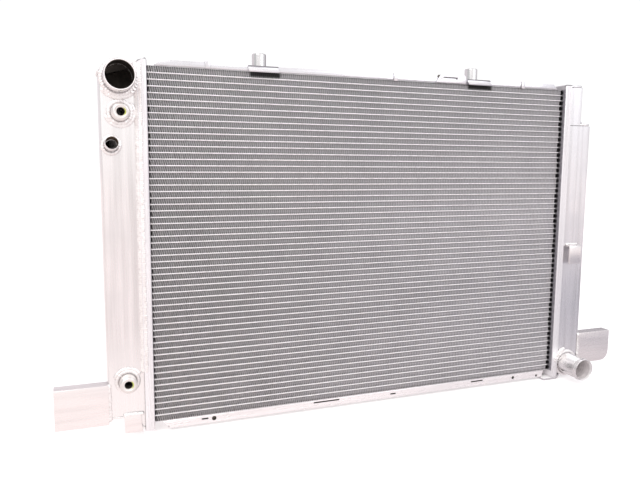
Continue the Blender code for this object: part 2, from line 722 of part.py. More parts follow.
def top_clips(parent):
    """Small clips hooked over the front flange of the top channel."""
    front = -CLEARANCE - CLIP_SHEET
    crown = CHANNEL_TOP + CLEARANCE + CLIP_SHEET
    path = [(front, CLIP_LOW), (front, crown), (CLIP_REACH, crown)]
    look = ((0.85, 0.85, 0.86), 1.0, 0.35)
    for place, x in zip(("left", "middle", "right"), CLIP_X):
        clip = folded_sheet(path, -CLIP_SHEET, "X", -CLIP_WIDTH / 2, CLIP_WIDTH / 2)
        add_object("top_clip_" + place, clip, look, parent, (x, 0, 0))


def beaded_neck(radius, wall, length, bead, bead_height):
    """Hose neck along Z with a raised bead round it."""
    bore = radius - wall
    return turned([
        (bore, CLEARANCE), (radius, CLEARANCE), (radius, bead_height - BEAD_WIDTH / 2),
        (bead, bead_height - BEAD_WIDTH / 4), (bead, bead_height + BEAD_WIDTH / 4),
        (radius, bead_height + BEAD_WIDTH / 2), (radius, length), (bore, length),
    ])


def necks(parent):
    look = ((0.9, 0.88, 0.87), 1.0, 0.28)
    for name, (x, z), mouth, radius in (
        ("inlet_neck", INLET, INLET_MOUTH, INLET_RADIUS),
        ("outlet_neck", OUTLET, OUTLET_MOUTH, OUTLET_RADIUS),
    ):
        length = TANK_FRONT - mouth
        bead = radius + WATER_NECK_BEAD
        neck = beaded_neck(radius, WATER_NECK_WALL, length, bead, length - BEAD_FROM_MOUTH)
        add_object(name, neck, look, parent, (x, TANK_FRONT, z), FORWARD, smooth=True)
    bead_height = BLEED_LENGTH - BEAD_WIDTH
    bleed = beaded_neck(BLEED_RADIUS, BLEED_WALL, BLEED_LENGTH, BLEED_BEAD, bead_height)
    lean = BLEED_BEAD * math.sin(BLEED_TILT)
    place = (BLEED[0], TANK_FRONT - lean, BLEED[1])
    turn = (math.pi / 2 - BLEED_TILT, 0, 0)
    add_object("bleed_neck", bleed, look, parent, place, turn, smooth=True)


def oil_fittings(parent):
    """Two threaded-port bodies that pass through the tank wall into the oil cooler, and their seals."""
    body, seat = OIL_BODY_LENGTH, OIL_BODY_LENGTH - OIL_SEAT_DEPTH
    outside = [
        (OIL_BORE, -OIL_STUB_DEPTH), (OIL_STUB_RADIUS, -OIL_STUB_DEPTH), (OIL_STUB_RADIUS, CLEARANCE),
        (OIL_BODY_RADIUS, CLEARANCE), (OIL_BODY_RADIUS, body - OIL_CHAMFER),
        (OIL_BODY_RADIUS - OIL_CHAMFER, body),
    ]
    inside = [(OIL_SEAT_RADIUS, body), (OIL_SEAT_RADIUS, seat), (OIL_BORE, seat)]
    low, high = seat + CLEARANCE, body - SEAL_BELOW_RIM
    middle = (low + high) / 2
    inner, outer = OIL_BORE + SEAL_OUTSIDE_BORE, OIL_SEAT_RADIUS - CLEARANCE
    crown = (inner + outer) / 2
    ring = [(inner, middle), (crown, low), (outer, middle), (crown, high)]
    for level, z in OIL_HEIGHTS.items():
        place = (OIL_X, TANK_FRONT, z)
        look = ((0.88, 0.85, 0.83), 1.0, 0.3)
        fitting = turned(outside + inside, 20)
        add_object(level + "_oil_fitting", fitting, look, parent, place, FORWARD, smooth=True)
        look = ((0.62, 0.66, 0.05), 0.0, 0.5)
        add_object(level + "_oil_seal", turned(ring, 20), look, parent, place, FORWARD, smooth=True)


def pipe(radius, wall, low, high):
    return turned([(radius - wall, low), (radius, low), (radius, high), (radius - wall, high)], 20)


def oil_cooler(parent):
    """Two concentric tubes, closed at both ends by rings, that hang on the two oil fittings."""
    place = (OIL_X, COOLER_Y, 0)
    look = ((0.8, 0.8, 0.8), 1.0, 0.4)
    jacket = pipe(COOLER_OUTER_RADIUS, COOLER_WALL, COOLER_LOW, COOLER_HIGH)
    barrel = add_object("oil_cooler_outer_tube", jacket, look, parent, place, smooth=True)
    for level, z in OIL_HEIGHTS.items():
        port = (OIL_X, COOLER_Y - COOLER_OUTER_RADIUS, z)
        hole(barrel, level + "_cooler_port", port, COOLER_PORT_RADIUS, WALL_CUT, parent, steps=16)
    low, high = COOLER_LOW - COOLER_OVERHANG, COOLER_HIGH + COOLER_OVERHANG
    core = pipe(COOLER_INNER_RADIUS, COOLER_WALL, low, high)
    add_object("oil_cooler_inner_tube", core, look, parent, place, smooth=True)
    outer = COOLER_OUTER_RADIUS - COOLER_WALL - CLEARANCE
    gap = outer - COOLER_INNER_RADIUS - CLEARANCE
    for level, low in (("lower", COOLER_LOW), ("upper", COOLER_HIGH - COOLER_RING)):
        ring = pipe(outer, gap, low, low + COOLER_RING)
        add_object("oil_cooler_" + level + "_ring", ring, look, parent, place, smooth=True)


def arm_outline(side, inset, rounding):
    """Front view of an arm, drawn in by the inset; rounding is the radius of its lower outer corner."""
    near = HALF_CORE + TANK_OUTER + CLEARANCE + inset
    far = HALF_CORE + TANK_OUTER + CLEARANCE + ARM_LENGTH - inset
    low, high = ARM_LOW + inset, ARM_HIGH - inset
    points = [(near, high), (near, low), (far, low), (far, high)]
    if rounding:
        points = [points[0], points[1], *rounded(points[1:], rounding - inset, steps=5)[1:-1], points[3]]
    return [(side * x, z) for x, z in points]


def mount_arms(parent):
    """Pressed arms, open at the back, that carry the radiator's weight."""
    back = ARM_FRONT + ARM_DEPTH
    look = ((0.88, 0.85, 0.84), 1.0, 0.35)
    for name, side, rounding in (("left_mount_arm", -1, 0), ("right_mount_arm", 1, ARM_ROUND)):
        block = prism(arm_outline(side, 0, rounding), "Y", ARM_FRONT, back)
        arm = add_object(name, block, look, parent)
        inner = arm_outline(side, ARM_SHEET, rounding)
        pocket = prism(inner, "Y", ARM_FRONT + ARM_SHEET, back + ARM_SHEET)
        subtract(arm, add_cutter(name + "_pocket", pocket, parent))


def left_bottom_foot(parent):
    """Leaning lug in front of the left tank's stepped underside."""
    corners = [(u, FOOT_HIGH) for u in FOOT_TOP_OUTWARD]
    corners += [(u, FOOT_LOW) for u in reversed(FOOT_BOTTOM_OUTWARD)]
    outline = [(-HALF_CORE - u, z) for u, z in corners]
    back = TANK_FRONT - CLEARANCE
    foot = prism(outline, "Y", back - FOOT_SHEET, back)
    add_object("left_bottom_foot", foot, ((0.88, 0.85, 0.84), 1.0, 0.35), parent)


def right_tank_tab(parent):
    """Bent stand-off tab on the front of the right tank."""
    back = TANK_FRONT - CLEARANCE
    front = back - TAB_REACH
    path = rounded([(back, TAB_HIGH), (front, TAB_HIGH), (front, TAB_LOW)], TAB_FOLD)
    near, far = (HALF_CORE + u for u in TAB_OUTWARD)
    tab = folded_sheet(path, TAB_SHEET, "X", near, far)
    add_object("right_tank_tab", tab, ((0.88, 0.86, 0.86), 1.0, 0.35), parent)


def radiator():
    clear_scene()
    assembly = bpy.data.objects.new("radiator", None)
    assembly.location = (0, -(BOX_FRONT + BOX_BACK) / 2, -BOTTOM_CAP_LOW)
    bpy.context.collection.objects.link(assembly)
    brazed_core(assembly)
    header_plate("left_header_plate", -1, assembly)
    header_plate("right_header_plate", 1, assembly)
    left_tank(assembly)
    right_tank(assembly)
    side_channels(assembly)
    upper_mounts(assembly)
    slotted_top_tab(assembly)
    top_clips(assembly)
    necks(assembly)
    oil_fittings(assembly)
    oil_cooler(assembly)
    mount_arms(assembly)
    left_bottom_foot(assembly)
    right_tank_tab(assembly)


radiator()
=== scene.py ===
"""Looks for the car radiator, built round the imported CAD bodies. Metres, in the part's frame."""

import math
import random

import bmesh
import bpy
import numpy as np
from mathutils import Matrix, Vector, noise


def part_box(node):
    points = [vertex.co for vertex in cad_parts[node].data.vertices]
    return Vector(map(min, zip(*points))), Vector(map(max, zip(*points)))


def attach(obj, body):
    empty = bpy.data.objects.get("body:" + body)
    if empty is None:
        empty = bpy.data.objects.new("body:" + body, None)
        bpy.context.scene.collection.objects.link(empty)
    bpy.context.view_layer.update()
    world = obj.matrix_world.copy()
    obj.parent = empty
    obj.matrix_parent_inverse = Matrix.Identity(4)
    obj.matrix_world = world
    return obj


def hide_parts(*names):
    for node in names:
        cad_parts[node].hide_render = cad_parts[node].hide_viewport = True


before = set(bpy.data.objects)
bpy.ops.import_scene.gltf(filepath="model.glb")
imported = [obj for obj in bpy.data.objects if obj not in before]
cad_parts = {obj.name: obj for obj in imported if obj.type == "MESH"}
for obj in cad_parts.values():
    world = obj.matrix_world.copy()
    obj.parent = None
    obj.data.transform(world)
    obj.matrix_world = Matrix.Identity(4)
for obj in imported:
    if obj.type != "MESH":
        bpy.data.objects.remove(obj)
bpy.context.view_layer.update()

MM = 0.001
BODY = "root"
EVEN = (1, 1, 1)  # the stretch of a noise that runs in no direction

# ---------------------------------------------------------------- materials


class Look:
    """A node material under construction: small helpers round one Principled shader."""

    def __init__(self, name, metallic=1.0, roughness=0.35):
        self.material = bpy.data.materials.new(name)
        self.material.use_nodes = True
        self.nodes = self.material.node_tree.nodes
        self.links = self.material.node_tree.links
        self.shader = self.nodes["Principled BSDF"]
        self.shader.inputs["Metallic"].default_value = metallic
        self.shader.inputs["Roughness"].default_value = roughness
        self.place = self.nodes.new("ShaderNodeTexCoord").outputs["Object"]

    def link(self, out, into):
        self.links.new(out, into)

    def node(self, kind, *sources, **settings):
        """New node whose first inputs are linked to outputs or set to values."""
        node = self.nodes.new(kind)
        for name, value in settings.items():
            setattr(node, name, value)
        for socket, source in zip(node.inputs, sources):
            if hasattr(source, "links"):
                self.link(source, socket)
            else:
                socket.default_value = source
        return node

    def noise(self, stretch, scale, detail, rough=0.55):
        """Noise in metres, stretched along the axes: a small number makes long streaks."""
        mapping = self.node("ShaderNodeMapping", self.place)
        mapping.inputs["Scale"].default_value = stretch
        texture = self.node("ShaderNodeTexNoise", mapping.outputs[0])
        for socket, value in (("Scale", scale), ("Detail", detail), ("Roughness", rough)):
            texture.inputs[socket].default_value = value
        return texture.outputs["Fac"]

    def spread(self, value, low, high, to_low, to_high):
        """Straight ramp of a value between two limits, level beyond them."""
        return self.node("ShaderNodeMapRange", value, low, high, to_low, to_high).outputs[0]

    def mix(self, factor, a, b):
        """Colour mix of two colours or colour outputs."""
        node = self.nodes.new("ShaderNodeMix")
        node.data_type = "RGBA"
        self.link(factor, node.inputs[0])
        for socket, source in ((node.inputs[6], a), (node.inputs[7], b)):
            if isinstance(source, tuple):
                socket.default_value = (*source, 1)
            else:
                self.link(source, socket)
        return node.outputs[2]

    def blend(self, value, low, high, a, b, share=1):
        """Colour a where the value is low, turning to b where it is high, up to a share."""
        return self.mix(self.spread(value, low, high, 0, share), a, b)

    def math(self, operation, a, b=0.0):
        return self.node("ShaderNodeMath", a, b, operation=operation).outputs[0]

    def times(self, a, b):
        return self.math("MULTIPLY", a, b)

    def vector(self, operation, a, b=(0, 0, 0)):
        return self.node("ShaderNodeVectorMath", a, b, operation=operation)

    def occlusion(self, distance):
        return self.node("ShaderNodeAmbientOcclusion", (1, 1, 1, 1), distance, samples=8).outputs["AO"]

    def part(self, vector, letter):
        return self.node("ShaderNodeSeparateXYZ", vector).outputs[letter]

    def axis(self, letter):
        """Position along an axis, in metres."""
        return self.part(self.place, letter)

    def facing(self, letter):
        """How far the surface turns towards an axis, -1 to 1."""
        return self.part(self.nodes.new("ShaderNodeNewGeometry").outputs["Normal"], letter)

    def colour(self, out):
        self.link(out, self.shader.inputs["Base Color"])

    def roughness(self, out):
        self.link(out, self.shader.inputs["Roughness"])

    def bump(self, height, strength, distance):
        node = self.nodes.new("ShaderNodeBump")
        node.inputs["Strength"].default_value = strength
        node.inputs["Distance"].default_value = distance
        self.link(height, node.inputs["Height"])
        self.link(node.outputs["Normal"], self.shader.inputs["Normal"])


def dim(colour, factor):
    return tuple(c * factor for c in colour)


def brushed(name, base, streak, along=(1, 1, 0.03), metallic=1.0, depth=0.85, fade=None, paler=()):
    """Rolled sheet: fine streaks along one axis, cloudy patches and painted shade in corners and recesses.
    `depth` is how strongly the broad streaks and patches show; `fade` dims the sheet between two
    places along X, to a factor; `paler` are ramps along its height by which it turns white, as a painted
    highlight."""
    look = Look(name, metallic)
    fine = look.noise(along, 1400.0, 2.0)
    broad = look.noise(along, 130.0, 3.0)
    cloud = look.noise(EVEN, 14.0, 4.0)
    tone = look.blend(fine, 0.3, 0.7, base, streak)
    tone = look.blend(broad, 0.42, 0.7, tone, dim(base, 0.74), depth)
    tone = look.blend(cloud, 0.45, 0.75, tone, dim(streak, 0.84), 0.7 * depth)
    # painted shade: darker in corners and recesses, by ambient occlusion
    tone = look.mix(look.spread(look.occlusion(8 * MM), 0.3, 0.9, 0.6, 0), tone, dim(base, 0.45))
    for heights in paler:
        tone = look.mix(look.spread(look.axis("Z"), *heights), tone, (1, 0.995, 0.995))
    if fade:
        start, end, factor = fade
        tone = look.mix(look.spread(look.axis("X"), start, end, 1 - factor, 0), tone, (0, 0, 0))
    look.colour(tone)
    uneven = look.math("ADD", look.times(fine, 0.5), look.times(cloud, 0.5))
    look.roughness(look.spread(uneven, 0.35, 0.65, 0.22, 0.36))
    waves = look.noise((1, 1, 0.4), 22.0, 2.0)
    relief = look.math("ADD", look.times(fine, 0.02), look.times(waves, 0.6))
    look.bump(relief, 0.8, 1 * MM)
    return look.material


def frosted(name, base, dark):
    """Weld metal, and the painted shade on the top folds of sheets: fine pits and pale frost, darker where it
    is pitted.
    """
    look = Look(name)
    pits = look.noise(EVEN, 420.0, 5.0, 0.7)
    patch = look.noise(EVEN, 50.4, 3.0)
    tone = look.blend(pits, 0.36, 0.5, dark, base)
    tone = look.blend(patch, 0.55, 0.75, tone, dim(dark, 0.85), 0.35)
    # painted shade: darker in the creases of the bead, by ambient occlusion
    look.colour(look.mix(look.spread(look.occlusion(4 * MM), 0.35, 0.85, 0.85, 0), tone, (0.24, 0.22, 0.23)))
    look.roughness(look.spread(pits, 0.3, 0.7, 0.35, 0.55))
    look.bump(pits, 0.2, 0.2 * MM)
    return look.material


def turned_metal(name, base, dark, roughness=(0.18, 0.3), shaded_side=None):
    """Machined metal with fine rings. Its last argument gives painted shade on the side turned to +X: its
    tone, and between which turns it sets in."""
    look = Look(name)
    rings = look.noise((0.02, 1, 0.02), 2600.0, 2.0)
    smear = look.noise(EVEN, 60.0, 3.0)
    tone = look.blend(rings, 0.35, 0.65, dark, base)
    tone = look.blend(smear, 0.45, 0.75, tone, dark, 0.4)
    if shaded_side:
        shade, start, end = shaded_side
        tone = look.blend(look.facing("X"), start, end, tone, shade)
    look.colour(tone)
    look.roughness(look.spread(smear, 0.35, 0.65, *roughness))
    look.bump(rings, 0.1, 0.1 * MM)
    return look.material


def dull_inside(name, base, dark, metallic=0.75):
    """Dull metal inside the necks and the tanks, with rings and blots; its tone is given per use, and its
    darkest and whitest copies are painted shade and painted light.
    """
    look = Look(name, metallic, 0.55)
    rings = look.noise((0.05, 1, 0.05), 700.0, 3.0)
    blots = look.noise(EVEN, 220.0, 4.0)
    tone = look.blend(rings, 0.35, 0.65, dark, base)
    look.colour(look.blend(blots, 0.45, 0.7, tone, dark, 0.7))
    look.bump(rings, 0.4, 0.4 * MM)
    return look.material


def rubber(name, base, dark, rest_tone):
    """Seal rubber, yellow on its right side and pale grey on the rest."""
    look = Look(name, 0.0, 0.5)
    speck = look.noise(EVEN, 1500.0, 3.0)
    across = look.part(look.nodes["Texture Coordinate"].outputs["Generated"], "X")
    yellow_side = look.spread(look.math("ADD", across, look.times(speck, 0.1)), 0.72, 0.92, 0, 1)
    look.colour(look.mix(yellow_side, rest_tone, look.blend(speck, 0.4, 0.65, dark, base)))
    look.roughness(look.spread(speck, 0.3, 0.7, 0.4, 0.6))
    look.bump(speck, 0.2, 0.1 * MM)
    return look.material


# the left tank's sheet turns white towards its top and at its bottom: painted highlight
SHEET = brushed("tank_sheet", (0.955, 0.935, 0.935), (0.9, 0.875, 0.88),
                paler=((0.32, 0.42, 0, 0.7), (0.07, 0.15, 0.85, 0)))
SHEET_RIGHT = brushed("right_tank_sheet", (0.95, 0.945, 0.96), (0.89, 0.885, 0.915))
LIP = brushed("pan_sheet", (0.93, 0.915, 0.935), (0.85, 0.835, 0.855), metallic=0.4, depth=0.5)
CHANNEL_LOW = brushed("low_channel_sheet", (1.0, 0.97, 0.975), (0.95, 0.92, 0.93), along=(0.03, 1, 1),
                      metallic=0.55, depth=0.5)
# dark grey: painted shade on the rounded top folds of caps, pan rims and saddles
FOLD_SHADE = frosted("fold_painted_shade", (0.3, 0.29, 0.31), (0.2, 0.19, 0.21))
CHANNEL = brushed("channel_sheet", (0.88, 0.865, 0.9), (0.8, 0.79, 0.82), along=(0.03, 1, 1),
                  fade=(-0.3, 0.12, 0.94))
ARM = brushed("arm_sheet", (1.0, 0.965, 0.96), (0.97, 0.935, 0.93), along=(0.05, 1, 1), depth=0.35)
WELD = frosted("weld_metal", (0.97, 0.95, 0.945), (0.78, 0.74, 0.73))
TURNED = turned_metal("turned_metal", (0.93, 0.915, 0.91), (0.8, 0.78, 0.78))
# near black: painted shade inside bores, tanks and channels, and behind slots
BORE_SHADE = dull_inside("bore_painted_shade", (0.16, 0.14, 0.12), (0.05, 0.045, 0.04))
BORE_PALE = dull_inside("outlet_bore", (1.0, 0.96, 0.96), (0.72, 0.69, 0.69), 0.3)
# white and dull: painted highlight on the outlet's mouth and the inlet's rim, and painted light on the right
# tank's tongue
MOUTH_HIGHLIGHT = dull_inside("mouth_painted_highlight", (1.0, 0.98, 0.98), (0.95, 0.93, 0.93), 0.0)
# warm grey, lighter than the bore: painted light on the inlet's last millimetres
MOUTH_LIT = dull_inside("inlet_mouth_painted_light", (0.45, 0.42, 0.37), (0.2, 0.18, 0.15), 0.2)
BORE_WARM = dull_inside("bleed_bore", (0.38, 0.29, 0.2), (0.07, 0.05, 0.035), 0.0)
# the outlet's lip and the pins carry painted shade on their side turned to +X
OUTLET_LIP = turned_metal("outlet_lip", (0.93, 0.915, 0.91), (0.8, 0.78, 0.78),
                          shaded_side=((0.2, 0.19, 0.2), 0.1, 0.45))
FITTING = turned_metal("fitting_metal", (0.92, 0.89, 0.87), (0.8, 0.77, 0.75), (0.25, 0.4))
PIN = turned_metal("pin_metal", (0.88, 0.87, 0.87), (0.72, 0.71, 0.72), (0.12, 0.2),
                   ((0.5, 0.46, 0.47), 0.6, 0.85))
SEAL = rubber("seal_rubber", (0.66, 0.72, 0.1), (0.45, 0.52, 0.06), (0.8, 0.77, 0.74))

# ---------------------------------------------------------------- mesh helpers


def place(item, replaces=()):
    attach(item, BODY)
    if replaces:
        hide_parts(*replaces)
    return item


def add(name, data):
    item = bpy.data.objects.new(name, data)
    bpy.context.scene.collection.objects.link(item)
    return item


def linked(name, mesh, materials, angle):
    """Object of a mesh, smooth but for its edges sharper than an angle."""
    for material in materials:
        mesh.materials.append(material)
    mesh.shade_smooth()
    mesh.set_sharp_from_angle(angle=math.radians(angle))
    return add(name, mesh)


def from_data(name, verts, faces, materials, angle=35):
    mesh = bpy.data.meshes.new(name)
    mesh.from_pydata([tuple(v) for v in verts], [], faces)
    bm = bmesh.new()
    bm.from_mesh(mesh)
    bmesh.ops.recalc_face_normals(bm, faces=bm.faces)
    bm.to_mesh(mesh)
    bm.free()
    return linked(name, mesh, materials, angle)


def soften(item, width):
    """Rounds the edges of a block, as deburred metal has them."""
    bevel = item.modifiers.new("edges", "BEVEL")
    bevel.width = width
    bevel.segments = 2
    bevel.limit_method = "ANGLE"
    bevel.angle_limit = math.radians(30)
    bevel.use_clamp_overlap = True
    item.modifiers.new("normals", "WEIGHTED_NORMAL").keep_sharp = False


def ring_faces(rings, size, closed=True):
    """Quads between neighbouring rings of points."""
    faces = []
    for i in range(rings if closed else rings - 1):
        here, there = i * size, (i + 1) % rings * size
        for k in range(size):
            m = (k + 1) % size
            faces.append((here + k, there + k, there + m, here + m))
    return faces


def end_faces(rings, size):
    """The two faces that close a row of rings."""
    return [tuple(range(size)), tuple(reversed(range((rings - 1) * size, rings * size)))]


def arc(centre, radius, start, end, steps):
    """Points of a circular arc in the plane; angles in degrees."""
    angles = [math.radians(start + (end - start) * i / steps) for i in range(steps + 1)]
    return [(centre[0] + radius * math.cos(a), centre[1] + radius * math.sin(a)) for a in angles]


def filleted(points, radius, steps=8, closed=False):
    """Path whose inner corners are arcs."""
    points = [Vector(p) for p in points]
    count = len(points)
    path = []
    for i, corner in enumerate(points):
        if not closed and i in (0, count - 1):
            path.append(corner)
            continue
        inward = (points[i - 1] - corner).normalized()
        onward = (points[(i + 1) % count] - corner).normalized()
        angle = inward.angle(onward)
        if radius <= 0 or angle > math.pi - 0.01:
            path.append(corner)
            continue
        reach = radius / math.tan(angle / 2)
        centre = corner + (inward + onward).normalized() * radius / math.sin(angle / 2)
        start = (corner + inward * reach - centre).normalized()
        end = (corner + onward * reach - centre).normalized()
        path += [centre + start.slerp(end, k / steps) * radius for k in range(steps + 1)]
    return [(p.x, p.y) for p in path]


def spun(profile, origin, axis, steps):
    """Points of a (radius, distance along axis) profile turned round an axis."""
    turn = Vector((0, 0, 1)).rotation_difference(Vector(axis).normalized()).to_matrix()
    verts = []
    for i in range(steps):
        a = math.tau * i / steps
        verts += [turn @ Vector((r * math.cos(a), r * math.sin(a), h)) + Vector(origin) for r, h in profile]
    return verts


def lathe(name, profile, origin, axis, materials, steps, kinds=(), angle=35):
    """Ring solid from a closed profile; `kinds` are the material numbers of the profile's edges."""
    verts = spun(profile, origin, axis, steps)
    item = from_data(name, verts, ring_faces(steps, len(profile)), materials, angle)
    if kinds:
        item.data.polygons.foreach_set("material_index", list(kinds) * steps)
    return item


def disc_bar(name, profile, origin, axis, materials, steps):
    """Round bar from an open profile, with flat ends."""
    n = len(profile)
    faces = [f for number, f in enumerate(ring_faces(steps, n)) if number % n < n - 1]
    faces.append(tuple(i * n for i in range(steps)))
    faces.append(tuple(i * n + n - 1 for i in reversed(range(steps))))
    return from_data(name, spun(profile, origin, axis, steps), faces, materials)


def sheet_solid(name, path, thickness, low, high, materials):
    """Upright folded sheet: thickness to the left of the path, and inside it the second material;
    low and high are heights, or functions of a place on the path."""
    pts = [Vector(p) for p in path]
    count = len(pts)

    def rule(r, p):
        return r(p.x, p.y) if callable(r) else r

    verts = []
    for i, here in enumerate(pts):
        before = here - pts[i - 1] if i else pts[1] - here
        after = pts[i + 1] - here if i + 1 < count else before
        sides = [Vector((-d.y, d.x)).normalized() for d in (before, after)]
        mid = (sides[0] + sides[1]).normalized()
        inside = here + mid * thickness / max(mid.dot(sides[0]), 0.2)
        bottom, top = rule(low, here), rule(high, here)
        verts += [(here.x, here.y, bottom), (here.x, here.y, top)]
        verts += [(inside.x, inside.y, top), (inside.x, inside.y, bottom)]
    walls = ring_faces(count, 4, closed=False)
    ends = [tuple(range(base, base + 4)) for base in (0, (count - 1) * 4)]
    item = from_data(name, verts, walls + ends, materials)
    item.data.polygons.foreach_set("material_index", [0, 0, 1, 0] * (count - 1) + [0, 0])
    return item


def block(name, outline, axis, low, high, materials):
    """Straight solid over a closed outline, along Y or Z."""
    verts = [(a, c, b) if axis == "Y" else (a, b, c) for c in (low, high) for a, b in outline]
    n = len(outline)
    faces = end_faces(2, n) + [(k, (k + 1) % n, n + (k + 1) % n, n + k) for k in range(n)]
    return from_data(name, verts, faces, materials)


def cut(item, cutter):
    """Boolean difference, applied at once."""
    modifier = item.modifiers.new("port", "BOOLEAN")
    modifier.operation = "DIFFERENCE"
    modifier.solver = "EXACT"
    modifier.object = cutter
    graph = bpy.context.evaluated_depsgraph_get()
    mesh = bpy.data.meshes.new_from_object(item.evaluated_get(graph), depsgraph=graph)
    old = item.data
    item.modifiers.clear()
    item.data = mesh
    mesh.name = old.name
    bpy.data.meshes.remove(old)
    bpy.data.objects.remove(cutter)
    mesh.shade_smooth()
    mesh.set_sharp_from_angle(angle=math.radians(35))


def weld(name, path, normal, width, height, pitch=3.4, closed=False, seed=0, ripple=0.16):
    """Weld bead along a path on a surface: overlapping crescents, uneven in width and height.
    Its width, height and pitch are in millimetres."""
    width, height, pitch = width * MM, height * MM, pitch * MM
    rng = random.Random(seed)
    points = [Vector(p) for p in path]
    if closed:
        points.append(points[0])
    lengths = [0.0]
    for a, b in zip(points, points[1:]):
        lengths.append(lengths[-1] + (b - a).length)
    total = lengths[-1]
    ripples = max(2, round(total / pitch))
    per_ripple, lateral, sink = 8, 11, 0.6 * MM
    stations = ripples * per_ripple
    wobble = [rng.uniform(-1, 1) for _ in range(ripples + 2)]
    swell = [rng.uniform(-1, 1) for _ in range(ripples + 2)]
    if closed:
        wobble[ripples:] = wobble[:2]
        swell[ripples:] = swell[:2]

    def at(s):
        s = s % total if closed else min(max(s, 0), total)
        k = max(i for i, l in enumerate(lengths[:-1]) if l <= s + 1e-12)
        t = (s - lengths[k]) / max(lengths[k + 1] - lengths[k], 1e-12)
        return points[k].lerp(points[k + 1], t)

    up = Vector(normal).normalized()
    verts = []
    rings = stations if closed else stations + 1
    for i in range(rings):
        s = total * i / stations
        here = at(s)
        side = (at(s + pitch * 0.4) - at(s - pitch * 0.4)).normalized().cross(up).normalized()
        u = i / per_ripple
        k, f = int(u), u - int(u)
        even = f * f * (3 - 2 * f)
        w = width * (1 + 0.12 * (wobble[k] * (1 - even) + wobble[k + 1] * even))
        h = height * (1 + 0.15 * (swell[k] * (1 - even) + swell[k + 1] * even))
        edge = min(s, total - s) / (pitch * 0.8)
        taper = max(math.sqrt(max(edge, 0.0) * (2 - edge)), 0.15) if edge < 1 and not closed else 1.0
        for j in range(lateral):
            a = math.pi * j / (lateral - 1)
            lean = math.sin(a)
            phase = (u + 0.45 * lean) % 1.0
            across = -math.cos(a) * w / 2 * taper * (1 + 0.05 * math.sin(phase * math.tau))
            rise = lean * h * (1 - ripple * phase ** 2 * lean) * taper
            verts.append(here + side * across + up * rise)
        verts += [here + side * (sign * w / 2 * 0.9 * taper) - up * sink for sign in (1, -1)]
    ring = lateral + 2
    faces = ring_faces(rings, ring, closed) + ([] if closed else end_faces(rings, ring))
    return place(from_data(name + "_weld", verts, faces, [WELD], 60))


# ---------------------------------------------------------------- the core

CORE_LOW, CORE_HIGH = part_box("brazed_core")
ROWS = 56
PITCH = (CORE_HIGH.z - CORE_LOW.z) / ROWS
TUBE_HALF = 0.9 * MM
FIN_PERIOD = 2.8 * MM
FOIL = 0.34 * MM
FIN_RECESS = 0.5 * MM
FIN_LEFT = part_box("left_header_plate")[1].x + 1.2 * MM
FIN_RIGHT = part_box("right_header_plate")[0].x - 2.6 * MM


def row_height(look):
    """0 on a tube, 1 on the next one."""
    return look.math("FRACT", look.math("DIVIDE", look.math("SUBTRACT", look.axis("Z"), CORE_LOW.z), PITCH))


def core_depth(look):
    """Depth inside the core from the nearer of its two faces."""
    from_front = look.math("SUBTRACT", look.axis("Y"), CORE_LOW.y)
    from_back = look.times(look.math("SUBTRACT", look.axis("Y"), CORE_HIGH.y), -1.0)
    return look.math("MINIMUM", from_front, from_back)


def off_middle(look):
    """Distance from the middle of a fin row, in shares of the pitch."""
    return look.math("ABSOLUTE", look.math("SUBTRACT", row_height(look), 0.5))


def under_saddles(look):
    """1 in the top fin row below the two pin saddles, which shade it."""
    high = look.spread(look.axis("Z"), CORE_HIGH.z - 0.95 * PITCH, CORE_HIGH.z - 0.6 * PITCH, 0, 1)
    total = None
    for side in ("left", "right"):
        low_x, high_x = (corner.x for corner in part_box(side + "_pin_saddle"))
        middle = (low_x + high_x) / 2 + 3 * MM
        off = look.math("ABSOLUTE", look.math("SUBTRACT", look.axis("X"), middle))
        half = (high_x - low_x) / 2
        near = look.spread(off, half - 1.5 * MM, half + 2 * MM, 1, 0)
        total = look.math("ADD", total, near) if total else near
    return look.times(high, total)


def header_side_shade():
    """Header metal beside the core, with painted shade: grey in front, a black painted shadow where it shows
    between the tubes, and painted lighter above and below them."""
    look = Look("header_painted_shade", 0.5, 0.55)
    blots = look.noise(EVEN, 220.0, 4.0)
    tone = look.blend(blots, 0.4, 0.65, (0.27, 0.26, 0.29), (0.4, 0.39, 0.42))
    depth = core_depth(look)
    between = look.spread(off_middle(look), 0.22, 0.36, 1, 0)
    gap = look.times(look.spread(depth, -2.2 * MM, -1.2 * MM, 0, 1), between)
    dark = look.math("MAXIMUM", gap, look.spread(depth, 0, 1.5 * MM, 0, 1))
    # painted shadow: black in the gaps between the tubes and beyond the core's front
    tone = look.mix(dark, tone, (0.025, 0.024, 0.026))
    above = look.spread(look.axis("Z"), CORE_HIGH.z, CORE_HIGH.z + 1 * MM, 0, 1)
    below = look.spread(look.axis("Z"), CORE_LOW.z - 1 * MM, CORE_LOW.z, 1, 0)
    tone = look.mix(above, tone, (0.5, 0.49, 0.51))
    look.colour(look.mix(below, tone, (0.9, 0.88, 0.9)))
    look.bump(blots, 0.3, 0.3 * MM)
    return look.material


def tube_skin():
    """Tube metal, matt from the furnace; painted shade darkens it in the depth of the core and right of the
    fins, and a painted shadow blackens it under the saddles.
    """
    look = Look("tube_metal", 0.45, 0.4)
    dark = (0.1, 0.095, 0.1)
    tone = look.noise((0.3, 1, 1), 700.0, 3.0)
    shade = look.blend(tone, 0.35, 0.6, (0.72, 0.71, 0.72), (0.9, 0.89, 0.9))
    shade = look.blend(core_depth(look), 1.2 * MM, 3.5 * MM, shade, dark, 0.95)
    shade = look.blend(look.axis("X"), FIN_RIGHT - 1 * MM, FIN_RIGHT + 1 * MM, shade, dark, 0.8)
    look.colour(look.mix(look.times(under_saddles(look), 0.9), shade, (0.02, 0.02, 0.02)))
    look.roughness(look.spread(tone, 0.3, 0.7, 0.3, 0.5))
    look.bump(tone, 0.25, 0.2 * MM)
    return look.material


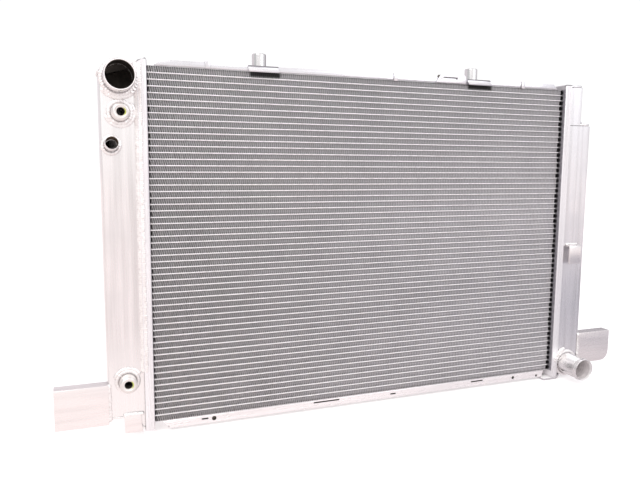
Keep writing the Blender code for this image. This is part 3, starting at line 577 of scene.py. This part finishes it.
def louvred_foil(name, edge, dark, pale):
    """Fin foil: the middle of each leg is cut into louvres that turn towards the front. Light and shade are
    painted: the front edge has its own tone, lit legs are brighter than shaded ones, the depth of the core is
    darker as little light reaches it, and the row under the saddles is black. The foil also turns darker
    towards the top of the core's right part."""
    look = Look(name, 1.0, 0.42)
    fine = look.noise(EVEN, 900.0, 2.0)
    patch = look.noise(EVEN, 16.0, 3.0)
    tone = look.blend(fine, 0.3, 0.7, dark, pale)
    tone = look.blend(patch, 0.4, 0.7, tone, dim(dark, 0.8), 0.4)
    look.roughness(look.spread(fine, 0.3, 0.7, 0.35, 0.5))
    depth = core_depth(look)
    tone = look.mix(look.spread(depth, 0.6 * MM, 0.9 * MM, 1, 0), tone, edge)
    upper = look.spread(look.axis("Z"), 0.28, CORE_HIGH.z, 0, 0.3)
    upper = look.times(upper, look.spread(look.axis("X"), -0.25, 0, 0, 1))
    tone = look.mix(upper, tone, (0.2, 0.195, 0.2))
    tone = look.blend(depth, 3 * MM, 9 * MM, tone, (0.18, 0.175, 0.18), 0.8)
    look.colour(look.mix(look.times(under_saddles(look), 0.86), tone, (0.01, 0.01, 0.01)))
    louvred = look.spread(off_middle(look), 0.24, 0.36, 1, 0)
    lean = look.nodes.new("ShaderNodeCombineXYZ")
    look.link(look.times(louvred, look.spread(fine, 0.35, 0.65, -0.5, -0.15)), lean.inputs["Y"])
    straight_out = look.nodes.new("ShaderNodeNewGeometry").outputs["Normal"]
    turned = look.vector("NORMALIZE", look.vector("ADD", straight_out, lean.outputs[0]).outputs[0])
    look.link(turned.outputs[0], look.shader.inputs["Normal"])
    return look.material


FIN_LIT = louvred_foil("fin_foil_lit", (1.0, 0.99, 1.0), (0.8, 0.79, 0.81), (0.97, 0.96, 0.97))
FIN_SHADED = louvred_foil("fin_foil_shaded", (0.55, 0.54, 0.55), (0.56, 0.55, 0.57), (0.78, 0.77, 0.78))
TUBE = tube_skin()
HEADER_SHADE = header_side_shade()


def tube(number):
    """Flat water tube with a rounded nose, a little uneven along its length."""
    z = CORE_LOW.z + number * PITCH
    r = TUBE_HALF
    front, back = CORE_LOW.y, CORE_HIGH.y
    section = arc((back - r, 0), r, -90, 90, 8) + arc((front + r, 0), r, 90, 270, 8)
    verts = []
    spans = 40
    for i in range(spans + 1):
        x = CORE_LOW.x + (CORE_HIGH.x - CORE_LOW.x) * i / spans
        drift = noise.noise(Vector((x * 9, number * 3.1, 0))) * 0.04 * MM
        push = noise.noise(Vector((x * 14, number * 1.7, 5))) * 0.05 * MM
        verts += [(x, y + (push if y < 0.01 else 0), z + h + drift) for y, h in section]
    n = len(section)
    faces = ring_faces(spans + 1, n, closed=False) + end_faces(spans + 1, n)
    return place(from_data(f"water_tube_{number:02d}", verts, faces, [TUBE], 50))


def fin_strip(row):
    """One strip of corrugated foil between two tubes, slightly irregular, with a few dents."""
    rng = random.Random(1000 + row)
    floor = CORE_LOW.z + row * PITCH + (TUBE_HALF if row else 0.1 * MM)
    ceiling = CORE_LOW.z + (row + 1) * PITCH - (TUBE_HALF if row < ROWS - 1 else 0.1 * MM)
    half = FIN_PERIOD / 2
    shift = rng.uniform(0, FIN_PERIOD)
    count = int((FIN_RIGHT - FIN_LEFT - shift) / half)
    crown = 0.3 * MM
    line = []
    for k in range(count + 1):
        x = FIN_LEFT + shift * 0.5 + k * half + rng.uniform(-0.22, 0.22) * MM
        top = k % 2 == 1
        z = ceiling - FOIL / 2 if top else floor + FOIL / 2
        inward = -0.2 * MM if top else 0.2 * MM
        line += [(x - crown, z + inward), (x, z), (x + crown, z + inward)]
    path = np.array(line)
    step = np.gradient(path, axis=0)
    step /= np.linalg.norm(step, axis=1)[:, None]
    side = np.stack([-step[:, 1], step[:, 0]], axis=1) * FOIL / 2
    bends = np.zeros(len(path))
    for _ in range(rng.choice((0, 1, 1, 2, 3))):
        middle, size = rng.uniform(0, len(path)), rng.uniform(4, 14)
        bends += rng.uniform(-0.7, 0.7) * MM * np.exp(-((np.arange(len(path)) - middle) / size) ** 2)
    height = (path[:, 1] - floor) / (ceiling - floor)
    bends *= np.sin(np.clip(height, 0, 1) * math.pi)
    front, back = CORE_LOW.y + FIN_RECESS, CORE_HIGH.y - FIN_RECESS
    depths = (front, front + 2.5 * MM, back)
    verts = []
    for y, share in zip(depths, (1, 0.2, 0)):
        for sign in (1, -1):
            xs = path[:, 0] + sign * side[:, 0] + bends * share
            zs = np.clip(path[:, 1] + sign * side[:, 1], floor, ceiling)
            verts.append(np.stack([xs, np.full(len(path), y), zs], axis=1))
    verts = np.concatenate(verts)
    n = len(path)
    # pairs of neighbouring point rows, and whether their faces run backwards
    pairs = ((0, 2, 0), (1, 3, 1), (2, 4, 0), (3, 5, 1), (0, 1, 1), (4, 5, 0))
    faces = [(a * n + k + turn, a * n + k + 1 - turn, b * n + k + 1 - turn, b * n + k + turn)
             for k in range(n - 1) for a, b, turn in pairs]
    kinds = [(k + 1) // 3 % 2 for k in range(n - 1) for _ in pairs]
    ends = [(a * n + k, (a + 1) * n + k, (a + 3) * n + k, (a + 2) * n + k)
            for k in (0, n - 1) for a in (0, 2)]
    item = from_data(f"fin_strip_{row + 1:02d}", verts, faces + ends, [FIN_LIT, FIN_SHADED], 40)
    item.data.polygons.foreach_set("material_index", kinds + [0] * len(ends))
    return place(item)


def core_skin(name, low, high):
    """Thin sheet that closes the outermost fin row towards the side channel."""
    left, right = FIN_LEFT, FIN_RIGHT + 2 * MM
    front, back = CORE_LOW.y + 0.3 * MM, CORE_HIGH.y - 0.3 * MM
    corners = [(left, front), (right, front), (right, back), (left, back)]
    outline = filleted(corners, 1 * MM, 4, closed=True)
    return place(block(name, outline, "Z", low, high, [TUBE]))


def build_core():
    for number in range(1, ROWS):
        tube(number)
    core_skin("core_skin_top", CORE_HIGH.z - 0.1 * MM, CORE_HIGH.z + 0.25 * MM)
    core_skin("core_skin_bottom", CORE_LOW.z - 0.25 * MM, CORE_LOW.z + 0.1 * MM)
    strips = [fin_strip(row) for row in range(ROWS)]
    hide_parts("brazed_core")


# ---------------------------------------------------------------- pieces refined from the solids


def refined(name, material, bevel, segments=2, marks=(), warp=None, above=-1.0):
    """Copy of a solid with merged faces, smooth shading and rounded edges, or only those edges
    above a height. The bevel is in millimetres. A mark is a test of a face's centre and normal,
    and its material."""
    node = bpy.data.objects[name]
    bm = bmesh.new()
    bm.from_mesh(node.data)
    bm.transform(node.matrix_world)
    bmesh.ops.remove_doubles(bm, verts=bm.verts, dist=1e-6)
    bmesh.ops.dissolve_limit(bm, angle_limit=math.radians(1.0), verts=bm.verts, edges=bm.edges)
    if warp:
        warp(bm)
    sharp = [e for e in bm.edges if len(e.link_faces) == 2 and e.calc_face_angle(0) > math.radians(30)
             and min(v.co.z for v in e.verts) > above]
    bmesh.ops.bevel(bm, geom=sharp, offset=bevel * MM, segments=segments, profile=0.5,
                    affect="EDGES", clamp_overlap=True)
    bmesh.ops.recalc_face_normals(bm, faces=bm.faces)
    for face in bm.faces:
        for index, (test, _) in enumerate(marks):
            if test(face.calc_center_median(), face.normal):
                face.material_index = index + 1
    mesh = bpy.data.meshes.new(name + "_look")
    bm.to_mesh(mesh)
    bm.free()
    item = linked(name + "_look", mesh, [material, *(mark[1] for mark in marks)], 40)
    return place(item, [name])


def drop_pan_corner(bm):
    """The left pan's rim falls away towards the tank at its top."""
    low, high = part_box("left_header_plate")
    knee = high.x - 6 * MM
    geom = bm.verts[:] + bm.edges[:] + bm.faces[:]
    bmesh.ops.bisect_plane(bm, geom=geom, plane_co=(knee, 0, 0), plane_no=(1, 0, 0))
    for vert in bm.verts:
        if vert.co.x < knee and vert.co.z > high.z - 4 * MM:
            vert.co.z -= (knee - vert.co.x) / (knee - low.x) * 4 * MM


def faces_core(side):
    """Test for the face of a header plate that looks at the core."""
    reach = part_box("right_header_plate")[0].x + 3 * MM
    return lambda centre, normal: normal.x * side < -0.6 and abs(centre.x) < reach


def faces_tank(side):
    """Test for the inner faces of a header plate, which only the water sees."""
    def test(centre, normal):
        behind_rim = PAN_FRONT + 2 * MM < centre.y < PAN_BACK - 2 * MM
        return behind_rim and (normal.x * side > 0.6 or abs(normal.y) > 0.6)
    return test


def faces_water(way):
    """Test for the face of a tank's top or bottom plate that looks into the tank."""
    return lambda centre, normal: normal.z * way > 0.9 and abs(centre.x) > TANK_INNER_X


def hook_ending(drop):
    """Shortens a clip's hook so that it ends this far below the channel's edge."""
    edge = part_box("top_side_channel")[0].z - drop

    def warp(bm):
        for vert in bm.verts:
            vert.co.z = max(vert.co.z, edge)
    return warp


def upper_fold(centre, normal):
    """Test for the rounded top edge of a sheet, which is painted with shade."""
    return 0.2 < normal.z < 0.97 and normal.y < -0.1 and centre.z > CORE_HIGH.z + 3.5 * MM


def flared_lip(centre, normal):
    """Test for the flared lower lip of a pin saddle."""
    return normal.z > 0.2 and normal.y < -0.2 and centre.z < CORE_HIGH.z + 4.5 * MM


def tongue_top(centre, normal):
    """Test for the top of the right bottom plate's tongue, seen between channel and pan, which is painted
    light.
    """
    return normal.z > 0.9 and 0 < centre.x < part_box("right_header_plate")[1].x and centre.z < CORE_LOW.z


def channel_inside(centre, normal):
    """Test for the inner faces of a side channel, seen through its slots, which are painted with shade."""
    top_low, top_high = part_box("top_side_channel")
    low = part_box("bottom_side_channel")[0]
    sheet = 2 * MM
    if abs(normal.z) > 0.6:
        return (normal.z < 0 and centre.z > top_high.z - sheet) or (normal.z > 0 and centre.z < low.z + sheet)
    front_flange = centre.y < (top_low.y + top_high.y) / 2
    return normal.y > 0.6 if front_flange else normal.y < -0.6


def behind_tab(centre, normal):
    """Test for the inner faces of the bent tab."""
    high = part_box("right_tank_tab")[1]
    return normal.y > 0.6 or (normal.z < -0.6 and centre.z > high.z - 5 * MM)


# ---------------------------------------------------------------- tanks

TANK_FRONT, TANK_BACK = (corner.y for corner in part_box("left_tank_shell"))
PAN_FRONT, PAN_BACK = (corner.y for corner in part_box("left_header_plate"))
WALL = 2.5 * MM
FOLD_RADIUS = 3.5 * MM
TANK_INNER_X = 0.326  # the plates' faces further out than this lie inside a tank


def tank_body(name, low, high, ports=()):
    """Folded tank sheet, bright outside and dull inside. A port hole is an x, a z and a radius."""
    box_low, box_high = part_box(name)
    left = box_low.x < 0
    inner_x, outer_x = (box_high.x, box_low.x) if left else (box_low.x, box_high.x)
    line = [(inner_x, TANK_FRONT), (outer_x, TANK_FRONT), (outer_x, TANK_BACK), (inner_x, TANK_BACK)]
    base = filleted(line, FOLD_RADIUS, 14)
    path = []
    for a, b in zip(base, base[1:]):
        cuts = max(1, round(math.dist(a, b) / (4 * MM)))
        path += [(a[0] + (b[0] - a[0]) * k / cuts, a[1] + (b[1] - a[1]) * k / cuts) for k in range(cuts)]
    path.append(base[-1])
    sheet, thickness = (SHEET, -WALL) if left else (SHEET_RIGHT, WALL)
    shell = sheet_solid(name + "_look", path, thickness, low, high, [sheet, BORE_SHADE])
    for x, z, radius in ports:
        profile = [(radius, -5 * MM), (radius, 5 * MM)]
        cut(shell, disc_bar("cutter", profile, (x, TANK_FRONT, z), (0, 1, 0), [], 64))
    return place(shell, [name])


def slope(start, end):
    """Height that runs straight between two (distance, height) points and is level beyond."""
    def rule(x, _y):
        share = min(max((abs(x) - start[0]) / (end[0] - start[0]), 0), 1)
        return start[1] + share * (end[1] - start[1])
    return rule


# ---------------------------------------------------------------- round parts


OUTWARD = (0, -1, 0)


def centre(name):
    low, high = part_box(name)
    return (low + high) / 2


def neck_outside(radius, wall, length, lip, bead, power, steps):
    """Profile from a neck's root over its lip; `bead` is where it starts, its width and height."""
    start, width, height = bead
    arch = [math.pi * k / steps for k in range(1, steps)]
    profile = [(radius, 0.0), (radius, start)]
    profile += [(radius + height * math.sin(a) ** power, start + width * a / math.pi) for a in arch]
    profile += [(radius, start + width), (radius, length - lip)]
    middle = radius - wall / 2
    return profile + [(middle + wall / 2 * math.cos(a), length - lip + lip * math.sin(a)) for a in arch]


def neck(name, radius, flare, looks):
    """Hose neck: rounded lip, raised bead, and a bore that opens out at the mouth. `looks` are
    the materials of the outside, the bore, its last millimetres and the lip."""
    mid = centre(name)
    origin = (mid.x, TANK_FRONT, mid.z)
    length = TANK_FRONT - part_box(name)[0].y
    wall, steps = 1.3 * MM, 8
    lip, bore = wall / 2, radius - wall
    bead = (length - 9 * MM, 6 * MM, 1 * MM)
    profile = neck_outside(radius, wall, length, lip, bead, 1.5, steps)
    rounded = steps - 2
    kinds = [0] * (len(profile) - rounded) + [3] * rounded + [2, 1, 0]
    profile += [(bore + flare, length - lip), (bore, length - 4.5 * MM), (bore, 0.0)]
    item = lathe(name + "_look", profile, origin, OUTWARD, looks, 96, kinds)
    return place(item, [name])


def inlet_root():
    """Weld metal that closes the inlet neck's root where it stands above the tank's top."""
    mid = centre("inlet_neck")
    outline = arc((mid.x, mid.z), 18.6 * MM, 38, 172, 24)
    item = block("inlet_root_weld", outline, "Y", TANK_FRONT - 0.8 * MM, TANK_FRONT + 2.2 * MM, [WELD, BORE_SHADE])
    # painted shade: the root's front, back and underside get the near-black bore material
    for face in item.data.polygons:
        if abs(face.normal.y) > 0.5 or face.normal.z < -0.5:
            face.material_index = 1
    soften(item, 0.5 * MM)
    place(item)


def bleed_neck():
    """Small neck that points a little upwards, with a bead and a rounded lip."""
    radius, wall, length, lip = 8.1 * MM, 0.75 * MM, 20 * MM, 0.6 * MM
    bore = radius - wall
    tilt = math.radians(9)
    axis = Vector((0, -math.cos(tilt), math.sin(tilt)))
    origin = centre("bleed_neck") - axis * (length / 2)
    bead = (length - 8 * MM, 5 * MM, 0.65 * MM)
    profile = neck_outside(radius, wall, length, lip, bead, 1, 6)
    kinds = [0] * len(profile) + [1, 1, 0]
    profile += [(bore, length - lip), (bore, length - 2 * MM), (bore, 0.0)]
    item = lathe("bleed_neck_look", profile, origin, axis, [TURNED, BORE_WARM], 72, kinds)
    return place(item, ["bleed_neck"])


def oil_fitting(level):
    """Threaded port body with a chamfered face, thread inside and its seal. The profile's sizes
    are in millimetres."""
    mid = centre(level + "_oil_fitting")
    origin = (mid.x, TANK_FRONT, mid.z)
    length, stub, thread_pitch = 17, 12, 1.4
    profile = [(4.5, -stub), (7, -stub), (7, 0), (10.8, 0), (10.8, length - 2.2), (10.5, length - 1.5),
               (9.3, length - 0.3), (8.7, length), (7, length), (6.5, length - 0.3)]
    outside = len(profile)
    for k in range(9):
        top = length - 2 - k * thread_pitch
        profile += [(4.9, top), (4.4, top - thread_pitch / 2)]
    profile += [(4.5, length - 15)]
    profile = [(r * MM, h * MM) for r, h in profile]
    kinds = [0] * outside + [1] * (len(profile) - outside)
    item = lathe(level + "_oil_fitting_look", profile, origin, OUTWARD, [FITTING, BORE_SHADE], 72, kinds)
    place(item, [level + "_oil_fitting"])
    ring = arc((5.9 * MM, (length - 1.3) * MM), 0.85 * MM, 0, 360, 14)[:-1]
    seal = lathe(level + "_oil_seal_look", ring, origin, OUTWARD, [SEAL], 72, angle=80)
    place(seal, [level + "_oil_seal"])


def mount_pin(side):
    """Locating pin with a rounded head."""
    name = side + "_mount_pin"
    low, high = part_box(name)
    mid = centre(name)
    height, radius, rounding = high.z - low.z, (high.x - low.x) / 2, 1.6 * MM
    crown = arc((radius - rounding, height - rounding), rounding, 0, 90, 8)
    profile = [(0.1 * MM, 0.0), (radius, 0.0), *crown, (2 * MM, height - 0.05 * MM)]
    item = disc_bar(name + "_look", profile, (mid.x, mid.y, low.z), (0, 0, 1), [PIN], 96)
    return place(item, [name])


# ---------------------------------------------------------------- welds


def vertical(x, y, low, high, steps):
    return [(x, y, low + (high - low) * k / steps) for k in range(steps + 1)]


def straight(start, end, steps):
    a, b = Vector(start), Vector(end)
    return [a.lerp(b, k / steps) for k in range(steps + 1)]


def circle(x, z, radius, start):
    """Closed path on the tanks' front, from an angle in radians."""
    angles = [start + math.tau * i / 72 for i in range(72)]
    return [(x + radius * math.cos(a), TANK_FRONT, z + radius * math.sin(a)) for a in angles]


def port_welds():
    """Beads round the necks and fittings, and second passes where the joint was wide."""
    for name, radius, width, height, start in (
        ("inlet_neck", 19.6, 7.5, 2.6, 0.3), ("outlet_neck", 19.0, 7.0, 2.8, 0.9),
        ("upper_oil_fitting", 12.8, 7.0, 2.2, 0.5), ("lower_oil_fitting", 12.8, 6.5, 2.2, 1.7),
    ):
        mid = centre(name)
        seed = int(radius * 10 + mid.z * 1000)
        weld(name, circle(mid.x, mid.z, radius * MM, start), OUTWARD, width, height, closed=True, seed=seed)
    mid = centre("bleed_neck")
    weld("bleed_neck", circle(mid.x, mid.z - 1 * MM, 9.8 * MM, 0.0), OUTWARD, 5.5, 2.6, closed=True, seed=5)
    for name, port, radius, (start, end, steps), width, height, pitch, seed, ripple in (
        ("inlet_second", "inlet_neck", 23, (-150, -25, 40), 6.5, 1.7, 4.6, 11, 0.16),
        ("inlet_third", "inlet_neck", 22.5, (-55, 20, 30), 7, 3.2, 4.2, 15, 0.6),
        ("upper_fitting_second", "upper_oil_fitting", 16.5, (-170, 45, 40), 5.5, 1.2, 4.4, 12, 0.16),
        ("lower_fitting_second", "lower_oil_fitting", 16.5, (25, 165, 40), 5, 2, 3.4, 13, 0.16),
        ("outlet_second", "outlet_neck", 24, (95, 175, 30), 7.5, 3.4, 3.4, 14, 0.16),
    ):
        mid = centre(port)
        path = [(x, TANK_FRONT, z) for x, z in arc((mid.x, mid.z), radius * MM, start, end, steps)]
        weld(name, path, OUTWARD, width, height, pitch, seed=seed, ripple=ripple)


def bracket_welds():
    """Beads that hold the arms, the foot and the tab."""
    for side, sign in (("left", -1), ("right", 1)):
        low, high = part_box(side + "_mount_arm")
        x = (high.x if sign < 0 else low.x) - sign * 0.6 * MM
        path = vertical(x, TANK_FRONT + 0.6 * MM, low.z + 3 * MM, high.z + 1 * MM, 30)
        weld(side + "_arm", path, (sign * 0.35, -1, 0), 6.5, 2.8, 4.5, seed=21 + sign)
    low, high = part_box("left_bottom_foot")
    y, z = TANK_FRONT - 1 * MM, high.z + 0.6 * MM
    path = straight((low.x - 1 * MM, y, z), (high.x + 2 * MM, y, z), 16)
    weld("left_foot", path, (0, -1, 0.4), 5.5, 2.6, 4.2, seed=31)
    low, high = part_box("right_tank_tab")
    z = high.z + 0.8 * MM
    path = straight((low.x - 1 * MM, TANK_FRONT, z), (high.x + 1 * MM, TANK_FRONT, z), 16)
    weld("right_tab", path, (0, -1, 0.5), 6.5, 2.6, seed=32)


def seam_welds():
    """Beads between the pans and the tanks, round the left top plate and along the step."""
    left_low, left_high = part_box("left_header_plate")
    right_low, right_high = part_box("right_header_plate")
    seam_y = (TANK_FRONT + PAN_FRONT) / 2 + 0.6 * MM
    path = vertical(left_low.x, seam_y - 0.6 * MM, left_low.z + 78 * MM, left_high.z - 6 * MM, 90)
    weld("left_pan", path, (-0.45, -1, 0), 10, 0.9, 2.8, seed=41)
    path = vertical(right_high.x + 0.2 * MM, seam_y, right_low.z + 12 * MM, right_high.z - 4 * MM, 90)
    weld("right_pan", path, (0.5, -1, 0), 2.4, 0.7, 5, seed=42)

    low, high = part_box("left_tank_top_cap")
    inner_x, top = left_low.x - 1 * MM, high.z - 2.6 * MM
    y = TANK_FRONT + 0.3 * MM
    path = straight((inner_x, y, top), (centre("inlet_neck").x + 19 * MM, y, top - 1 * MM), 4)
    weld("left_top", path, (0, -1, 0.6), 4, 1.5, 1.8, seed=43)
    y = TANK_BACK - 0.3 * MM
    path = straight((inner_x, y, top), (low.x + 6 * MM, y, low.z + 1.2 * MM), 30)
    weld("left_top_back", path, (0, 1, 0.6), 4, 1.5, 3.6, seed=46)
    z = low.z + 0.6 * MM
    path = straight((low.x, TANK_FRONT + 6 * MM, z), (low.x, TANK_BACK - 6 * MM, z), 20)
    weld("left_top_side", path, (-1, 0, 0.5), 4, 1.5, 3.6, seed=47)

    low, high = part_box("right_tank_step_plate")
    wall_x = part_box("right_tank_upper_shell")[1].x
    x, z = wall_x + 0.4 * MM, high.z - 1 * MM
    path = straight((x, TANK_FRONT + 4.5 * MM, z), (x, TANK_BACK - 4.5 * MM, z), 20)
    weld("step", path, (0.6, 0, 1), 4.5, 2, 3.6, seed=44)
    path = straight((wall_x - 3.5 * MM, TANK_FRONT + 0.9 * MM, low.z + 1.6 * MM),
                    (high.x - 7 * MM, TANK_FRONT + 0.4 * MM, low.z + 1 * MM), 12)
    weld("step_front", path, (0, -1, 0.3), 4.2, 1.4, 3, seed=45)


def build_tanks():
    left_low, left_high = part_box("left_tank_shell")
    cap_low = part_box("left_tank_top_cap")[0]
    pan_reach = abs(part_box("left_header_plate")[0].x)
    roof = slope((pan_reach, left_high.z), (abs(left_low.x), cap_low.z - 0.3 * MM))
    floor = slope((pan_reach + 3 * MM, left_low.z), (pan_reach + 10 * MM, left_low.z + 17 * MM))
    ports = [("inlet_neck", 0, 16.7), ("bleed_neck", -1.5, 6.9), ("upper_oil_fitting", 0, 7.3),
             ("lower_oil_fitting", 0, 7.3), ("outlet_neck", 1, 15)]
    holes = [(centre(name).x, centre(name).z + rise * MM, radius * MM) for name, rise, radius in ports]
    tank_body("left_tank_shell", floor, roof, holes[:4])

    low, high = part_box("right_tank_shell")
    ground = slope((pan_reach, low.z), (pan_reach + 10 * MM, low.z + 3.5 * MM))
    tank_body("right_tank_shell", ground, high.z, holes[4:])
    low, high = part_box("right_tank_upper_shell")
    joggle = slope((pan_reach + 0.3 * MM, high.z - 2.8 * MM), (pan_reach + 4 * MM, high.z))
    tank_body("right_tank_upper_shell", low.z, joggle)

    for name in ("left_tank_top_cap", "left_tank_bottom_cap", "right_tank_step_plate",
                 "right_tank_top_cap", "right_tank_bottom_cap"):
        sheet = SHEET if "left" in name else SHEET_RIGHT
        marks = [(faces_water(1 if "bottom" in name else -1), BORE_SHADE), (upper_fold, FOLD_SHADE), (tongue_top, MOUTH_HIGHLIGHT)]
        refined(name, sheet, 0.5, marks=marks)
    for side, sign, warp in (("left", -1, drop_pan_corner), ("right", 1, None)):
        name = side + "_header_plate"
        marks = [(faces_tank(sign), BORE_SHADE), (faces_core(sign), HEADER_SHADE), (upper_fold, FOLD_SHADE)]
        refined(name, LIP, 1.6, marks=marks, warp=warp, above=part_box(name)[1].z - 6 * MM)


def slotted_tab():
    """The raised plate, and a dark strip of sheet behind its slot: painted shade seen through it."""
    refined("slotted_top_tab", CHANNEL, 0.25)
    low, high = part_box("slotted_top_tab")
    bottom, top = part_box("top_side_channel")[1].z + 0.2 * MM, high.z - 1 * MM
    corners = [(low.x + 2 * MM, bottom), (high.x - 2 * MM, bottom),
               (high.x - 4 * MM, top), (low.x + 4 * MM, top)]
    outline = filleted(corners, 1 * MM, 4, closed=True)
    shade_sheet = block("slotted_tab_painted_shade", outline, "Y", high.y + 0.2 * MM, high.y + 1 * MM, [BORE_SHADE])
    place(shade_sheet)


def channel_shade_strip():
    """Dark strip of sheet inside the bottom channel, behind its slots: painted shade seen through them."""
    low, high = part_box("bottom_side_channel")
    front, bottom, top = low.y + 3.2 * MM, low.z + 0.6 * MM, high.z - 2.6 * MM
    left, right = low.x + 8 * MM, high.x - 8 * MM
    outline = [(left, bottom), (right, bottom), (right, top), (left, top)]
    place(block("bottom_channel_painted_shade", outline, "Y", front, front + 0.8 * MM, [BORE_SHADE]))


def build_small_parts():
    neck("inlet_neck", 18 * MM, 0.4 * MM, (TURNED, BORE_SHADE, MOUTH_LIT, MOUTH_HIGHLIGHT))
    neck("outlet_neck", 17.4 * MM, 0.6 * MM, (TURNED, BORE_PALE, MOUTH_HIGHLIGHT, OUTLET_LIP))
    inlet_root()
    channel_shade_strip()
    bleed_neck()
    for level in ("upper", "lower"):
        oil_fitting(level)
    for side in ("left", "right"):
        mount_pin(side)
        marks = [(upper_fold, FOLD_SHADE), (flared_lip, LIP)]
        refined(side + "_pin_saddle", CHANNEL, 0.35, marks=marks)
        refined(side + "_mount_arm", ARM, 0.5, 3)
    refined("left_bottom_foot", ARM, 0.5)
    refined("right_tank_tab", ARM, 0.4, marks=[(behind_tab, BORE_PALE)])
    slotted_tab()
    for spot, drop in (("left", 0), ("middle", 1.5 * MM), ("right", 1.5 * MM)):
        refined("top_clip_" + spot, CHANNEL, 0.2, warp=hook_ending(drop))
    for level, look in (("top", CHANNEL), ("bottom", CHANNEL_LOW)):
        refined(level + "_side_channel", look, 0.3, marks=[(channel_inside, BORE_SHADE)])
    for piece in ("outer_tube", "inner_tube", "lower_ring", "upper_ring"):
        refined("oil_cooler_" + piece, BORE_PALE, 0.2)


# ---------------------------------------------------------------- stage


AIM = (0, 0, 0.25)


def lamp(name, spot, size, power, colour):
    """Area light turned to the middle of the radiator."""
    light = bpy.data.lights.new(name, "AREA")
    light.size = size
    light.energy = power
    light.color = colour
    item = add(name, light)
    item.location = spot
    item.rotation_euler = (Vector(AIM) - Vector(spot)).to_track_quat("-Z", "Y").to_euler()


def by_ray(tree, mirrored, seen, output):
    """The camera sees one shader, and everything else the other."""
    path = tree.nodes.new("ShaderNodeLightPath")
    choice = tree.nodes.new("ShaderNodeMixShader")
    sources = (path.outputs["Is Camera Ray"], mirrored.outputs[0], seen.outputs[0])
    for source, socket in zip(sources, choice.inputs):
        tree.links.new(source, socket)
    tree.links.new(choice.outputs[0], tree.nodes[output].inputs["Surface"])


def floor_material():
    """Pale sweep: white to the eye, pinkish in front of the radiator and greyer to its right where
    the metal mirrors it."""
    look = Look("studio_floor", 0.0, 0.9)
    look.colour(look.blend(look.noise(EVEN, 1.5, 2.0), 0.3, 0.7, (0.96, 0.96, 0.96), (0.99, 0.99, 0.99)))
    look.shader.inputs["Emission Color"].default_value = (1, 1, 1, 1)
    look.shader.inputs["Emission Strength"].default_value = 0.35
    distance = look.vector("DISTANCE", look.place, (1.0, -0.6, 0)).outputs["Value"]
    mirrored = look.nodes.new("ShaderNodeEmission")
    grey, pink = (0.47, 0.45, 0.5), (1.04, 0.935, 0.925)
    look.link(look.blend(distance, 0.35, 1.4, grey, pink), mirrored.inputs["Color"])
    by_ray(look.material.node_tree, mirrored, look.shader, "Material Output")
    return look.material


def studio_world():
    """White backdrop; the metal mirrors a bright front and a greyer back."""
    world = bpy.data.worlds.new("studio")
    bpy.context.scene.world = world
    world.use_nodes = True
    nodes, links = world.node_tree.nodes, world.node_tree.links
    split = nodes.new("ShaderNodeSeparateXYZ")
    links.new(nodes.new("ShaderNodeTexCoord").outputs["Generated"], split.inputs[0])

    def ramp(letter, *stops):
        """Colour by the direction along an axis; a stop is a direction, -1 to 1, and a colour."""
        half = nodes.new("ShaderNodeMath")
        half.operation = "MULTIPLY_ADD"
        half.inputs[1].default_value = half.inputs[2].default_value = 0.5
        links.new(split.outputs[letter], half.inputs[0])
        node = nodes.new("ShaderNodeValToRGB")
        while len(node.color_ramp.elements) < len(stops):
            node.color_ramp.elements.new(0.5)
        for element, (direction, colour) in zip(node.color_ramp.elements, stops):
            element.position = direction / 2 + 0.5
            element.color = (*colour, 1)
        links.new(half.outputs[0], node.inputs[0])
        return node.outputs["Color"]

    bright = (1, 0.985, 0.98)
    front = ramp("X", (-0.95, (0.6, 0.61, 0.61)), (-0.7, bright), (0.15, bright), (0.65, (0.86, 0.85, 0.87)))
    back = ramp("X", (0.1, (0.78, 0.73, 0.76)), (0.6, (0.45, 0.43, 0.46)))
    sky = nodes.new("ShaderNodeMix")
    sky.data_type = "RGBA"
    for index, source in ((0, ramp("Y", (-0.3, (0, 0, 0)), (0.5, (1, 1, 1)))), (6, front), (7, back)):
        links.new(source, sky.inputs[index])
    mirrored = nodes["Background"]
    links.new(sky.outputs[2], mirrored.inputs["Color"])
    mirrored.inputs["Strength"].default_value = 1.04
    seen = nodes.new("ShaderNodeBackground")
    seen.inputs["Color"].default_value = (1, 1, 1, 1)
    seen.inputs["Strength"].default_value = 1.05
    by_ray(world.node_tree, mirrored, seen, "World Output")


def studio_floor():
    half = 40.0
    mesh = bpy.data.meshes.new("studio_floor")
    corners = [(-half, -half, 0), (half, -half, 0), (half, half, 0), (-half, half, 0)]
    mesh.from_pydata(corners, [], [(0, 1, 2, 3)])
    mesh.materials.append(floor_material())
    add("studio_floor", mesh)


def photo_camera():
    """The picture's camera, as fitted to the radiator's edges, without its lens distortion."""
    camera = add("camera", bpy.data.cameras.new("camera"))
    camera.data.lens = 35.55
    camera.data.sensor_width = 36.0
    camera.location = (-0.4059, -0.8241, 0.3570)
    camera.rotation_euler = (math.radians(83.05), math.radians(-0.46), math.radians(-20.9))
    bpy.context.scene.camera = camera


def stage():
    studio_floor()
    studio_world()
    lamp("key_light", (-1.3, -1.6, 2.0), 1.6, 22, (1.0, 0.98, 0.97))
    lamp("fill_light", (1.2, -1.8, 1.4), 1.4, 9, (0.97, 0.97, 1.0))
    photo_camera()
    bpy.context.scene.view_settings.view_transform = "Standard"


build_core()
build_tanks()
build_small_parts()
port_welds()
bracket_welds()
seam_welds()
stage()
